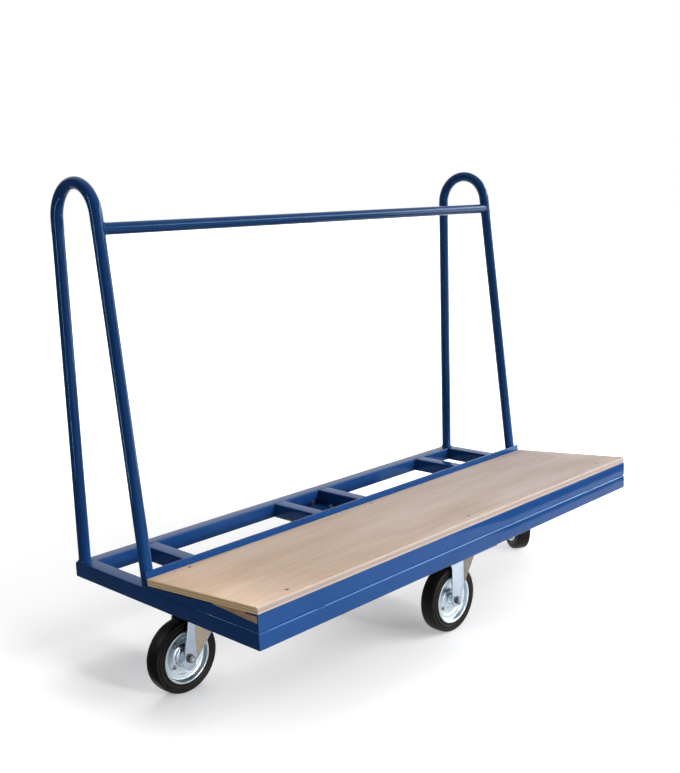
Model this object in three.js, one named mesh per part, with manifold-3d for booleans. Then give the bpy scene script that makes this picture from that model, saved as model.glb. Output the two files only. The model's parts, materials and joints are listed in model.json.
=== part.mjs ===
// Sheet goods cart: a low steel chassis with a tilted plywood deck in front and two
// bent-tube end hoops that boards lean against. It rolls on a diamond of four castors:
// a fixed one at the middle of each long side and a swivelling one at each end.
// Millimetres, +Z up, +X along the length, the deck on the -Y side, floor at z = 0.

import * as THREE from "three";
import { mergeVertices } from "three/addons/utils/BufferGeometryUtils.js";
import Module from "manifold-3d";

const wasm = await Module();
wasm.setup();

// Driving dimensions of the chassis
const chassisLength = 1690;
const chassisWidth = 780;
const railHeight = 45;
const railWidth = 45;
const railWall = 3;
const railCornerRadius = 4;
const castorBayLength = 158; // clear gap between the two members over each castor
const mountPlateThickness = 8;
const mountPlateOverlap = 30; // how far the plate reaches under each member
const mountPlateMargin = 18; // mounting plate beyond each side of the castor plate

// Driving dimensions of the deck and the angles that hold it
const deckThickness = 18;
const deckTilt = THREE.MathUtils.degToRad(4.6);
const frontAngleDepth = 45;
const frontAngleThickness = 4;
const stopAngleHeight = 41;
const stopAngleDepth = 40;
const stopAngleThickness = 5;
const bearerRearHeight = 5.2; // bearer under the stop angle, at its rear end
const bearerWall = 3;
const bearerDeckGap = 2.5; // the bearers stay this far under the board
const wedgeLength = 165;
const wedgeFrontHeight = 18.4;
const screwHeadRadius = 6;
const screwHeadRim = 0.5;
const screwShankRadius = 2.5;
const screwPoint = 3; // screw point below the thicker angle
const screwEdgeDistance = 12; // screw axis to the free edge of an angle's leg

// Driving dimensions of the hoops and the top rail
const hoopHeight = 1350; // floor to the top of the bend
const hoopTubeRadius = 17;
const hoopTubeWall = 2.5;
const footEndInset = 2.5; // side of a foot inside the end of the chassis
const footRearInset = 0.6; // back of the rear foot inside the rear face
const footSpacing = 305;
const rearLean = THREE.MathUtils.degToRad(0.6);
const frontLean = THREE.MathUtils.degToRad(6.35);
const topRailRadius = 16;
const topRailWall = 2.5;
const topRailBelowBend = 35; // top rail's axis below the start of the front bend

// Driving dimensions of the wheels and castors
const rimRadius = 73.5;
const tyreHeight = 26.5; // rim to tread
const tyreHalfWidth = 24;
const treadHalfWidth = 9;
const lipRise = 6; // rim's lip above the tyre's seat
const lipWidth = 4;
const lipDepth = 7;
const lipProud = 0.8; // the rim's lip stands out past the tyre's side
const webRadius = 46;
const webHalfThickness = 7;
const hubWall = 6.7;
const hubFlare = 6;
const sidewallStep = 3;
const shoulderHeight = 12;
const tyreSideGap = 7; // tyre to the inside of a fork leg
const legThickness = 5;
const axleRadius = 6;
const sleeveWall = 3.7;
const axleHexLand = 4.6; // corners of the bolt head and nut beyond the axle
const axleHexHeight = 9;
const threadEnd = 3; // the bolt's thread stands this far out of its nut
const castorPlateLength = 135;
const castorPlateThickness = 6;
const boltHoleRadius = 5.5;
const boltLegGap = 2.5; // bolt hole to the outside of a fixed leg
const boltSideMargin = 13; // bolt axis to the long edge of the castor plate
const boltEndMargin = 15; // bolt axis to the short edge of the castor plate
const fixedAxleOffset = 39; // wheel centre to the middle of the fixed plate
const bracketEndRadius = 20; // round lower end of a fixed leg
const bracketShoulderRise = 26; // the leading edge starts to slope this far above the axle
const bracketShoulderFlare = 4;
const bracketFlareHeight = 30; // the leg widens to the plate over this height
const midCastorInset = 87; // fixed wheel's centre plane to the long side's face
const swivelTrail = 63; // swivel axis to wheel centre
const forkEndRadius = 21; // round lower end of a swivel leg
const forkEndDrop = 12; // centre of that round below the axle
const forkTopFrom = 4; // trailing edge of the crown ahead of the axle
const forkHeadDepth = 40; // the leading edge starts to slope this far under the crown's top
const forkHeadInset = 2; // leading edge of the crown inside the round crown
const crownRadius = 47;
const kingpinRadius = 10;
const kingpinHeadLand = 7; // riveted head beyond the kingpin
const kingpinHeadHeight = 6;
const kingpinTyreGap = 1; // kingpin's head above the level of the tyre's top
const raceHeight = 11; // crown to the pressed seat above it
const raceWidth = 12;
const raceInset = 4; // race inside the rim of the crown
const raceSeatDepth = 6; // pressed seat under the top plate
const leftSwivelAngle = THREE.MathUtils.degToRad(0);
const rightSwivelAngle = THREE.MathUtils.degToRad(53);

// Clearances
const weldGap = 0.2; // joint left open at each weld
const seatGap = 0.3; // between faces that rest on each other at a slope
const runningGap = 0.3; // radial and end play of turning pieces
const boardGap = 3; // board edge to the stop

// Roundness, in sides or steps
const tubeSides = 12;
const hoopBendSteps = 12;
const wheelSides = 28;
const pinSides = 16;
const holeSides = 8;
const screwSides = 8;

// Places worked out from the dimensions
const wheelRadius = rimRadius + tyreHeight;
const rimSeatRadius = rimRadius - lipRise;
const sleeveRadius = axleRadius + runningGap + sleeveWall;
const hubRadius = sleeveRadius + runningGap + hubWall;
const axleHexRadius = axleRadius + axleHexLand;
const legGapHalf = tyreHalfWidth + tyreSideGap;
const legOuter = legGapHalf + legThickness;
const crownBottomHeight = 2 * wheelRadius + kingpinTyreGap + kingpinHeadHeight;
const crownTopHeight = crownBottomHeight + legThickness;
const castorHeight = crownTopHeight + raceHeight + raceSeatDepth + castorPlateThickness;
const boltSpacingLength = castorPlateLength - 2 * boltEndMargin;
const boltSpacingWidth = 2 * (legOuter + boltLegGap + boltHoleRadius);
const castorPlateWidth = boltSpacingWidth + 2 * boltSideMargin;
const railBottom = castorHeight + mountPlateThickness;
const railTop = railBottom + railHeight;
const frontFace = -chassisWidth / 2;
const rearFace = chassisWidth / 2;
const endBayCentre = chassisLength / 2 - railWidth - castorBayLength / 2;
const endCrossCentre = chassisLength / 2 - railWidth - castorBayLength - railWidth / 2;
const midCrossCentre = castorBayLength / 2 + railWidth / 2;
const hoopX = chassisLength / 2 - footEndInset - hoopTubeRadius;
const rearFootY = rearFace - footRearInset - hoopTubeRadius;
const frontFootY = rearFootY - footSpacing;
const bearerRear = frontFootY - hoopTubeRadius / Math.cos(frontLean) - 2 * weldGap;
const underStopAngle = stopAngleThickness / Math.cos(deckTilt) + seatGap;
const underFrontAngle = frontAngleThickness / Math.cos(deckTilt) + seatGap;
const deckFall = (bearerRear - frontFace) * Math.tan(deckTilt);
const frontAngleHeight = bearerRearHeight + underStopAngle + deckFall;
const deckPivotHeight = railTop + frontAngleHeight;
const screwLength = deckThickness + Math.max(frontAngleThickness, stopAngleThickness) + screwPoint;

// A swivelling wheel's furthest reach along X from its swivel axis, ahead or behind
function wheelReach(angle, direction) {
  const reach = wheelRadius * Math.abs(Math.cos(angle)) + tyreHalfWidth * Math.abs(Math.sin(angle));
  return reach - direction * swivelTrail * Math.cos(angle);
}

const leftEnd = Math.min(-chassisLength / 2, -endBayCentre - wheelReach(leftSwivelAngle, -1));
const rightEnd = Math.max(chassisLength / 2, endBayCentre + wheelReach(rightSwivelAngle, 1));
const originShift = -(leftEnd + rightEnd) / 2; // centres the whole length on the origin

// Materials
const bluePaint = new THREE.MeshStandardMaterial({ color: 0x1d4583, roughness: 0.38, metalness: 0.1 });
const zinc = new THREE.MeshStandardMaterial({ color: 0xc3ccd3, roughness: 0.3, metalness: 0.9 });
const darkSteel = new THREE.MeshStandardMaterial({ color: 0x6d7075, roughness: 0.45, metalness: 0.9 });
const rubber = new THREE.MeshStandardMaterial({ color: 0x17181a, roughness: 0.75, metalness: 0 });
const plywood = new THREE.MeshStandardMaterial({ color: 0xcdaa8c, roughness: 0.7, metalness: 0 });
const softwood = new THREE.MeshStandardMaterial({ color: 0xc9a06f, roughness: 0.75, metalness: 0 });

const cart = new THREE.Group();
cart.position.x = originShift;

function add(name, geometry, material, parent = cart) {
  const mesh = new THREE.Mesh(geometry, material);
  mesh.name = name;
  parent.add(mesh);
  return mesh;
}

function group(x, y, z, parent = cart) {
  const made = new THREE.Group();
  made.position.set(x, y, z);
  parent.add(made);
  return made;
}

// Joining and cutting of closed geometries
function toSolid(geometry) {
  const bare = new THREE.BufferGeometry();
  bare.setAttribute("position", geometry.getAttribute("position"));
  bare.setIndex(geometry.index);
  const merged = mergeVertices(bare, 1e-4);
  return new wasm.Manifold(
    new wasm.Mesh({
      numProp: 3,
      vertProperties: merged.getAttribute("position").array,
      triVerts: new Uint32Array(merged.index.array),
    }),
  );
}

function toGeometry(solid) {
  const mesh = solid.getMesh();
  const geometry = new THREE.BufferGeometry();
  geometry.setAttribute("position", new THREE.BufferAttribute(mesh.vertProperties, mesh.numProp));
  geometry.setIndex(new THREE.BufferAttribute(mesh.triVerts, 1));
  return geometry;
}

function join(...geometries) {
  return toGeometry(geometries.map(toSolid).reduce((a, b) => a.add(b)));
}

function cut(geometry, ...tools) {
  return toGeometry(tools.map(toSolid).reduce((a, b) => a.subtract(b), toSolid(geometry)));
}

// Basic shapes
function block(x0, x1, y0, y1, z0, z1) {
  const geometry = new THREE.BoxGeometry(x1 - x0, y1 - y0, z1 - z0);
  return geometry.translate((x0 + x1) / 2, (y0 + y1) / 2, (z0 + z1) / 2);
}

function extrude(shape, depth, curveSegments = 4) {
  return new THREE.ExtrudeGeometry(shape, { depth, curveSegments, bevelEnabled: false });
}

// A side view, in y and z, drawn out along X
function alongX(shape, x0, x1, curveSegments) {
  const turn = new THREE.Matrix4().makeBasis(
    new THREE.Vector3(0, 1, 0),
    new THREE.Vector3(0, 0, 1),
    new THREE.Vector3(1, 0, 0),
  );
  return extrude(shape, x1 - x0, curveSegments).applyMatrix4(turn).translate(x0, 0, 0);
}

// A front view, in x and z, drawn out along Y
function alongY(shape, y0, y1, curveSegments) {
  return extrude(shape, y1 - y0, curveSegments).rotateX(Math.PI / 2).translate(0, y1, 0);
}

function polygon(points) {
  return new THREE.Shape(points.map(([a, b]) => new THREE.Vector2(a, b)));
}

function uprightCylinder(radius, z0, z1, sides, x = 0, y = 0) {
  const geometry = new THREE.CylinderGeometry(radius, radius, z1 - z0, sides);
  return geometry.rotateX(Math.PI / 2).translate(x, y, (z0 + z1) / 2);
}

function crossCylinder(radius, y0, y1, sides) {
  return new THREE.CylinderGeometry(radius, radius, y1 - y0, sides).translate(0, (y0 + y1) / 2, 0);
}

// A closed section of radius and height, turned about the Y axis
function turned(section, sides) {
  const points = section.map(([radius, height]) => new THREE.Vector2(radius, height));
  if (THREE.ShapeUtils.isClockWise(points)) points.reverse();
  points.push(points[0].clone());
  return new THREE.LatheGeometry(points, sides);
}

// An open section that starts and ends on the axis, listed from the bottom up, turned about Z
function uprightTurned(section, sides) {
  const points = section.map(([radius, height]) => new THREE.Vector2(radius, height));
  return new THREE.LatheGeometry(points, sides).rotateX(Math.PI / 2);
}

// Corner radius of a many-sided hole whose flats clear a pin of this radius
function boreRadius(pinRadius, sides) {
  return (pinRadius + runningGap) / Math.cos(Math.PI / sides);
}

// A section given for one side of the wheel's centre plane, mirrored to the other side
function mirroredSection(half) {
  const far = half.map(([radius, height]) => [radius, -height]).reverse();
  return half.concat(far);
}

// Box-section rail lying along X, outer face at y = 0, underside at z = 0
function boxTube(length) {
  const section = new THREE.Shape();
  const r = railCornerRadius;
  section.moveTo(r, 0);
  section.lineTo(railWidth - r, 0);
  section.absarc(railWidth - r, r, r, -Math.PI / 2, 0);
  section.lineTo(railWidth, railHeight - r);
  section.absarc(railWidth - r, railHeight - r, r, 0, Math.PI / 2);
  section.lineTo(r, railHeight);
  section.absarc(r, railHeight - r, r, Math.PI / 2, Math.PI);
  section.lineTo(0, r);
  section.absarc(r, r, r, Math.PI, 1.5 * Math.PI);
  const bore = new THREE.Path();
  bore.moveTo(railWall, railWall);
  bore.lineTo(railWidth - railWall, railWall);
  bore.lineTo(railWidth - railWall, railHeight - railWall);
  bore.lineTo(railWall, railHeight - railWall);
  bore.closePath();
  section.holes.push(bore);
  return alongX(section, -length / 2, length / 2, 2);
}

// The same rail with both ends cut back at 45 degrees from its outer face
function mitredTube(length) {
  const geometry = boxTube(length);
  const place = geometry.getAttribute("position");
  for (let i = 0; i < place.count; i++) {
    const end = Math.sign(place.getX(i));
    place.setX(i, end * (length / 2 - place.getY(i) - weldGap));
  }
  return geometry;
}

function addRail(name, length, x, y, turn) {
  const rail = add(name, mitredTube(length), bluePaint);
  rail.position.set(x, y, railBottom);
  rail.rotation.z = turn;
}

function addChassisFrame() {
  addRail("front_rail", chassisLength, 0, frontFace, 0);
  addRail("rear_rail", chassisLength, 0, rearFace, Math.PI);
  addRail("left_end_rail", chassisWidth, -chassisLength / 2, 0, -Math.PI / 2);
  addRail("right_end_rail", chassisWidth, chassisLength / 2, 0, Math.PI / 2);
  const crossLength = chassisWidth - 2 * railWidth - 2 * weldGap;
  const crossPlaces = {
    cross_member_left: -endCrossCentre,
    cross_member_mid_left: -midCrossCentre,
    cross_member_mid_right: midCrossCentre,
    cross_member_right: endCrossCentre,
  };
  for (const [name, x] of Object.entries(crossPlaces)) {
    const member = add(name, boxTube(crossLength), bluePaint);
    member.position.set(x + railWidth / 2, 0, railBottom);
    member.rotation.z = Math.PI / 2;
  }
}

// Four bolt holes through a plate that is centred on x, y
function boltHoles(x, y, z0, z1) {
  const holes = [];
  for (const sideX of [-1, 1])
    for (const sideY of [-1, 1])
      holes.push(
        uprightCylinder(
          boltHoleRadius,
          z0 - 1,
          z1 + 1,
          holeSides,
          x + (sideX * boltSpacingLength) / 2,
          y + (sideY * boltSpacingWidth) / 2,
        ),
      );
  return holes;
}

function addMountPlate(name, x, y) {
  const halfLength = castorBayLength / 2 + mountPlateOverlap;
  const halfWidth = castorPlateWidth / 2 + mountPlateMargin;
  const plate = block(-halfLength, halfLength, -halfWidth, halfWidth, castorHeight, railBottom);
  const mesh = add(name, cut(plate, ...boltHoles(0, 0, castorHeight, railBottom)), bluePaint);
  mesh.position.set(x, y, 0);
}

// Underside of the board: a plane that falls from the front face towards the rear
function boardUnderside(y) {
  return deckPivotHeight - (y - frontFace) * Math.tan(deckTilt);
}

// Rear face of the stop angle, measured down the slope from the front face, set so that
// its lower edge meets the front of the leaning hoop legs
function stopAngleRear() {
  const rise = deckPivotHeight - stopAngleThickness * Math.cos(deckTilt) - railTop;
  const legFront = frontFootY - hoopTubeRadius / Math.cos(frontLean) - weldGap;
  const toeIn = stopAngleThickness * Math.sin(deckTilt);
  const reach = legFront + rise * Math.tan(frontLean) - frontFace + toeIn;
  return reach / (Math.cos(deckTilt) + Math.sin(deckTilt) * Math.tan(frontLean));
}

const stopRear = stopAngleRear();
const deckDepth = stopRear - stopAngleThickness - boardGap;
const screwPlaces = [];
for (const x of [-endBayCentre, 0, endBayCentre]) {
  screwPlaces.push({ x, y: frontAngleDepth - screwEdgeDistance, row: "front" });
  screwPlaces.push({ x, y: stopRear - stopAngleDepth + screwEdgeDistance, row: "rear" });
}

// A frame on the slope: y runs down the slope, z is square to the board's underside
function slopeGroup() {
  const slope = group(0, frontFace, deckPivotHeight);
  slope.rotation.x = -deckTilt;
  return slope;
}

function screwHoles(row, z0, z1) {
  const radius = boreRadius(screwShankRadius, screwSides);
  return screwPlaces
    .filter((place) => place.row === row)
    .map((place) => uprightCylinder(radius, z0, z1, screwSides, place.x, place.y));
}

// Folded front angle: upright face on the front rail, top leg folded to the deck's slope
function addFrontAngle() {
  const thickness = frontAngleThickness;
  const tipY = frontAngleDepth * Math.cos(deckTilt);
  const tipZ = frontAngleHeight - frontAngleDepth * Math.sin(deckTilt);
  const innerCorner = frontAngleHeight - thickness / Math.cos(deckTilt) - thickness * Math.tan(deckTilt);
  const section = polygon([
    [0, weldGap],
    [thickness, weldGap],
    [thickness, innerCorner],
    [tipY - thickness * Math.sin(deckTilt), tipZ - thickness * Math.cos(deckTilt)],
    [tipY, tipZ],
    [0, frontAngleHeight],
  ]);
  const blank = alongX(section, -chassisLength / 2, chassisLength / 2);
  blank.translate(0, frontFace, railTop);
  const drills = screwHoles("front", -2 * thickness, thickness);
  const slope = new THREE.Matrix4().makeRotationX(-deckTilt).setPosition(0, frontFace, deckPivotHeight);
  drills.forEach((drill) => drill.applyMatrix4(slope));
  add("front_angle", cut(blank, ...drills), bluePaint);
}

// Stop angle: one leg under the board's rear edge, the other standing up behind it
function addStopAngle(slope) {
  const section = polygon([
    [stopRear - stopAngleDepth, -stopAngleThickness],
    [stopRear, -stopAngleThickness],
    [stopRear, stopAngleHeight - stopAngleThickness],
    [stopRear - stopAngleThickness, stopAngleHeight - stopAngleThickness],
    [stopRear - stopAngleThickness, 0],
    [stopRear - stopAngleDepth, 0],
  ]);
  const blank = alongX(section, -chassisLength / 2, chassisLength / 2);
  const drills = screwHoles("rear", -2 * stopAngleThickness, stopAngleThickness);
  add("stop_angle", cut(blank, ...drills), bluePaint, slope);
}

// Countersunk screw standing on its point, its head's top at z = 0. The hole for it is the
// same shape grown by a clearance and carried up past the board
function screwGeometry(clearance, lift) {
  const head = screwHeadRadius + clearance;
  const shank = screwShankRadius + clearance;
  const coneDepth = screwHeadRadius - screwShankRadius;
  const section = [
    [0, -screwLength],
    [shank, -screwLength],
    [shank, -screwHeadRim - coneDepth],
    [head, -screwHeadRim],
    [head, lift],
    [0, lift],
  ];
  return uprightTurned(section, screwSides);
}

function addDeck(slope) {
  const top = seatGap + deckThickness;
  const board = block(-chassisLength / 2, chassisLength / 2, 0, deckDepth, seatGap, top);
  const headTop = top - seatGap;
  const sinks = screwPlaces.map((place) =>
    screwGeometry(seatGap, 2 * seatGap).translate(place.x, place.y, headTop - seatGap),
  );
  add("deck_board", cut(board, ...sinks), plywood, slope);
  for (const [i, place] of screwPlaces.entries()) {
    const screw = add("deck_screw_" + (i + 1), screwGeometry(0, 0), zinc, slope);
    screw.position.set(place.x, place.y, headTop);
  }
}

// Side view of a bearer: it stands on a rail, rises to the board and carries the stop angle
function bearerSection() {
  const front = frontFace + frontAngleThickness + seatGap;
  const knee = frontFace + wedgeLength;
  const flangeTop = frontFace + (stopRear - stopAngleDepth) * Math.cos(deckTilt);
  const flange = flangeTop - stopAngleThickness * Math.sin(deckTilt) - seatGap;
  return [
    [front, railTop + weldGap],
    [bearerRear, railTop + weldGap],
    [bearerRear, boardUnderside(bearerRear) - underStopAngle],
    [flange, boardUnderside(flange) - underStopAngle],
    [flange, boardUnderside(flange) - bearerDeckGap],
    [knee, boardUnderside(knee) - bearerDeckGap],
    [front, boardUnderside(front) - underFrontAngle - wedgeFrontHeight],
  ];
}

// Bearers are inverted channels, open at the bottom and at both ends
function addBearer(name, x0, x1) {
  const outer = alongX(polygon(bearerSection()), x0, x1);
  const reach = 1; // the cut runs past both ends and the bottom
  const innerSection = bearerSection().map(([y, z], i, all) => {
    const pastEnd = y === all[0][0] ? -reach : y === all[1][0] ? reach : 0;
    return [y + pastEnd, z - bearerWall];
  });
  const inner = alongX(polygon(innerSection), x0 + bearerWall, x1 - bearerWall);
  add(name, cut(outer, inner), bluePaint);
}

// Softwood wedge between an end bearer and the board, notched under the front angle
function addWedge(name, x0, x1) {
  const front = frontFace + frontAngleThickness + seatGap;
  const knee = frontFace + wedgeLength;
  const notch = frontFace + frontAngleDepth * Math.cos(deckTilt) + seatGap;
  const section = polygon([
    [front, boardUnderside(front) - underFrontAngle - wedgeFrontHeight + seatGap],
    [knee, boardUnderside(knee) - bearerDeckGap + seatGap],
    [knee, boardUnderside(knee) - seatGap],
    [notch, boardUnderside(notch) - seatGap],
    [notch, boardUnderside(notch) - underFrontAngle],
    [front, boardUnderside(front) - underFrontAngle],
  ]);
  add(name, alongX(section, x0, x1), softwood);
}

function addDeckSupports() {
  const end = chassisLength / 2;
  const halfWidth = railWidth / 2;
  addBearer("deck_bearer_left", -end, -end + railWidth);
  addBearer("deck_bearer_mid_left", -midCrossCentre - halfWidth, -midCrossCentre + halfWidth);
  addBearer("deck_bearer_mid_right", midCrossCentre - halfWidth, midCrossCentre + halfWidth);
  addBearer("deck_bearer_right", end - railWidth, end);
  addWedge("deck_wedge_left", -end, -end + railWidth);
  addWedge("deck_wedge_right", end - railWidth, end);
}

// Centre line of a hoop: up the rear leg, round the bend and down the front leg
class HoopLine extends THREE.Curve {
  constructor() {
    super();
    const apex = hoopHeight - hoopTubeRadius;
    const closing = Math.tan(rearLean) + Math.tan(frontLean);
    const spread = 1 / Math.cos(rearLean) + 1 / Math.cos(frontLean);
    this.bendRadius = (footSpacing - (apex - railTop) * closing) / (spread - closing);
    const centreZ = apex - this.bendRadius;
    const legAtCentre = rearFootY - (centreZ - railTop) * Math.tan(rearLean);
    this.centre = new THREE.Vector3(0, legAtCentre - this.bendRadius / Math.cos(rearLean), centreZ);
    this.rearFoot = new THREE.Vector3(0, rearFootY, railTop);
    this.frontFoot = new THREE.Vector3(0, frontFootY, railTop);
    this.steps = hoopBendSteps + 2;
  }

  onBend(share) {
    const angle = rearLean + (Math.PI - frontLean - rearLean) * share;
    const away = new THREE.Vector3(0, Math.cos(angle), Math.sin(angle));
    return away.multiplyScalar(this.bendRadius).add(this.centre);
  }

  getPoint(t) {
    const step = t * this.steps;
    if (step < 1) return this.rearFoot.clone().lerp(this.onBend(0), step);
    if (step > this.steps - 1) return this.onBend(1).lerp(this.frontFoot, step - this.steps + 1);
    return this.onBend((step - 1) / hoopBendSteps);
  }

  // Keeps one step for each straight leg and the rest for the bend
  getUtoTmapping(u) {
    return u;
  }
}

function tubeSection(radius, wall) {
  const section = new THREE.Shape().absarc(0, 0, radius, 0, 2 * Math.PI);
  section.holes.push(new THREE.Path().absarc(0, 0, radius - wall, 0, 2 * Math.PI, true));
  return section;
}

// The bent tube, with each foot cut level just above its rail
function hoopGeometry() {
  const line = new HoopLine();
  const geometry = new THREE.ExtrudeGeometry(tubeSection(hoopTubeRadius, hoopTubeWall), {
    steps: line.steps,
    curveSegments: tubeSides / 2,
    extrudePath: line,
    bevelEnabled: false,
  });
  const place = geometry.getAttribute("position");
  const between = (rearFootY + frontFootY) / 2;
  for (let i = 0; i < place.count; i++) {
    if (place.getZ(i) > railTop + 2 * hoopTubeRadius) continue;
    const drop = railTop + weldGap - place.getZ(i);
    const lean = place.getY(i) > between ? -Math.tan(rearLean) : Math.tan(frontLean);
    place.setY(i, place.getY(i) + drop * lean);
    place.setZ(i, railTop + weldGap);
  }
  return geometry;
}

function frontLegY(z) {
  return frontFootY + (z - railTop) * Math.tan(frontLean);
}

// Top rail between the two front legs, its ends shaped to sit against them
function topRailGeometry() {
  const tube = alongX(tubeSection(topRailRadius, topRailWall), -hoopX, hoopX, tubeSides / 2);
  const legRadius = (hoopTubeRadius + weldGap) / Math.cos(Math.PI / tubeSides);
  const legs = [-hoopX, hoopX].map((x) => {
    const leg = uprightCylinder(legRadius, -4 * topRailRadius, 4 * topRailRadius, 2 * tubeSides);
    return leg.rotateX(-frontLean).translate(x, 0, 0);
  });
  return cut(tube, ...legs);
}

function addHoopsAndTopRail() {
  for (const [name, x] of [["left_hoop", -hoopX], ["right_hoop", hoopX]]) {
    add(name, hoopGeometry(), bluePaint).position.x = x;
  }
  const rail = add("top_rail", topRailGeometry(), bluePaint);
  const height = new HoopLine().onBend(1).z - topRailBelowBend;
  rail.position.set(0, frontLegY(height), height);
}

// Pressed steel wheel: hub, dished web, and a rim with a lip on each side
function wheelDiscGeometry() {
  const hubHalf = legGapHalf - 2 * runningGap;
  const lipFace = tyreHalfWidth + lipProud;
  const half = [
    [boreRadius(sleeveRadius, wheelSides), hubHalf],
    [hubRadius, hubHalf],
    [hubRadius + hubFlare, webHalfThickness],
    [webRadius, webHalfThickness],
    [rimRadius - lipWidth, lipFace],
    [rimRadius, lipFace],
    [rimSeatRadius, lipFace - lipDepth],
  ];
  return turned(mirroredSection(half), wheelSides);
}

// Solid rubber tyre, seated between the rim's lips, with a flat of the tread on the floor
function tyreGeometry() {
  const lipFace = tyreHalfWidth + lipProud;
  const treadRadius = wheelRadius / Math.cos(Math.PI / wheelSides);
  const half = [
    [rimSeatRadius + 2 * seatGap, lipFace - lipDepth],
    [rimRadius + 2 * seatGap, lipFace - lipProud - seatGap],
    [rimRadius + sidewallStep, tyreHalfWidth],
    [treadRadius - shoulderHeight, tyreHalfWidth],
    [treadRadius - shoulderHeight / 4, (2 * tyreHalfWidth + treadHalfWidth) / 3],
    [treadRadius, treadHalfWidth],
  ];
  return turned(mirroredSection(half), wheelSides).rotateY(Math.PI / wheelSides);
}

function addWheel(prefix, centre) {
  add(prefix + "_wheel_disc", wheelDiscGeometry(), zinc, centre);
  add(prefix + "_tyre", tyreGeometry(), rubber, centre);
}

// Axle bolt, nut and spacer sleeve that clamp between two fork legs
function addAxle(prefix, centre) {
  const face = legOuter + runningGap;
  const threadTip = -face - axleHexHeight - threadEnd;
  const shank = crossCylinder(axleRadius, threadTip, face + axleHexHeight / 2, pinSides);
  const head = crossCylinder(axleHexRadius, face, face + axleHexHeight, 6);
  add(prefix + "_axle_bolt", join(shank, head), zinc, centre);
  const nut = crossCylinder(axleHexRadius, -face - axleHexHeight, -face, 6);
  add(prefix + "_axle_nut", cut(nut, axleHole()), zinc, centre);
  const half = legGapHalf - runningGap;
  const sleeveBore = boreRadius(axleRadius, pinSides);
  const sleeve = [
    [sleeveBore, -half],
    [sleeveRadius, -half],
    [sleeveRadius, half],
    [sleeveBore, half],
  ];
  add(prefix + "_axle_sleeve", turned(sleeve, pinSides), darkSteel, centre);
}

// Two parallel legs from one outline, in x and z about the wheel's centre
function legPair(outline) {
  return [
    alongY(outline, -legOuter, -legGapHalf, 6),
    alongY(outline, legGapHalf, legOuter, 6),
  ];
}

function axleHole() {
  return crossCylinder(boreRadius(axleRadius, pinSides), -2 * legOuter, 2 * legOuter, pinSides);
}

// Leg of a fixed bracket: straight trailing edge, sloped leading edge, as wide as the plate on top
function fixedLegOutline() {
  const top = castorHeight - castorPlateThickness / 2 - wheelRadius;
  const plateFrom = fixedAxleOffset - castorPlateLength / 2;
  const plateTo = fixedAxleOffset + castorPlateLength / 2;
  const outline = new THREE.Shape();
  outline.moveTo(-bracketEndRadius, 0);
  outline.absarc(0, 0, bracketEndRadius, Math.PI, 2 * Math.PI);
  outline.lineTo(bracketEndRadius + bracketShoulderFlare, bracketShoulderRise);
  outline.lineTo(plateTo, top - bracketFlareHeight / 3);
  outline.lineTo(plateTo, top);
  outline.lineTo(plateFrom, top);
  outline.lineTo(plateFrom, top - bracketFlareHeight / 3);
  outline.lineTo(-bracketEndRadius, top - bracketFlareHeight);
  outline.closePath();
  return outline;
}

function castorPlate(x) {
  const half = castorPlateLength / 2;
  const bottom = castorHeight - castorPlateThickness;
  const halfWidth = castorPlateWidth / 2;
  return block(x - half, x + half, -halfWidth, halfWidth, bottom, castorHeight);
}

function addFixedCastor(prefix, y) {
  const castor = group(-fixedAxleOffset, y, 0);
  const centre = group(0, 0, wheelRadius, castor);
  const legs = legPair(fixedLegOutline());
  const plate = castorPlate(fixedAxleOffset).translate(0, 0, -wheelRadius);
  const holes = boltHoles(fixedAxleOffset, 0, castorHeight - castorPlateThickness, castorHeight);
  holes.forEach((hole) => hole.translate(0, 0, -wheelRadius));
  add(prefix + "_bracket", cut(join(plate, ...legs), axleHole(), ...holes), zinc, centre);
  addAxle(prefix, centre);
  addWheel(prefix, centre);
}

// Leg of a swivelling fork: it leans from the axle towards the swivel axis
function swivelLegOutline() {
  const top = crownTopHeight - wheelRadius;
  const headTo = swivelTrail + crownRadius - forkHeadInset;
  const outline = new THREE.Shape();
  outline.moveTo(-forkEndRadius, -forkEndDrop);
  outline.absarc(0, -forkEndDrop, forkEndRadius, Math.PI, 2 * Math.PI);
  outline.lineTo(headTo, top - forkHeadDepth);
  outline.lineTo(headTo, top);
  outline.lineTo(forkTopFrom, top);
  outline.closePath();
  return outline;
}

function forkGeometry() {
  const crownBottom = crownBottomHeight - wheelRadius;
  const crownTop = crownTopHeight - wheelRadius;
  const headTo = swivelTrail + crownRadius - forkHeadInset;
  const bridge = block(forkTopFrom, headTo, -legOuter, legOuter, crownBottom, crownTop);
  const disc = uprightCylinder(crownRadius, crownBottom, crownTop, wheelSides, swivelTrail);
  const boreSize = boreRadius(kingpinRadius, pinSides);
  const bore = uprightCylinder(boreSize, 0, 2 * crownTop, pinSides, swivelTrail);
  const body = join(disc, bridge, ...legPair(swivelLegOutline()));
  return cut(body, bore, axleHole());
}

// Top plate with the pressed seat of the ball race under it
function topPlateGeometry() {
  const bottom = castorHeight - castorPlateThickness;
  const seat = uprightCylinder(crownRadius, bottom - raceSeatDepth, bottom + 1, wheelSides);
  const bore = uprightCylinder(boreRadius(kingpinRadius, pinSides), 0, 2 * castorHeight, pinSides);
  return cut(join(castorPlate(0), seat), bore, ...boltHoles(0, 0, bottom, castorHeight));
}

// Kingpin with its riveted head under the fork's crown
function kingpinGeometry() {
  const headTop = crownBottomHeight - runningGap;
  const section = [
    [0, headTop - kingpinHeadHeight],
    [kingpinRadius + kingpinHeadLand, headTop - kingpinHeadHeight],
    [kingpinRadius + kingpinHeadLand, headTop],
    [kingpinRadius, headTop],
    [kingpinRadius, castorHeight - seatGap],
    [0, castorHeight - seatGap],
  ];
  return uprightTurned(section, pinSides);
}

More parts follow.
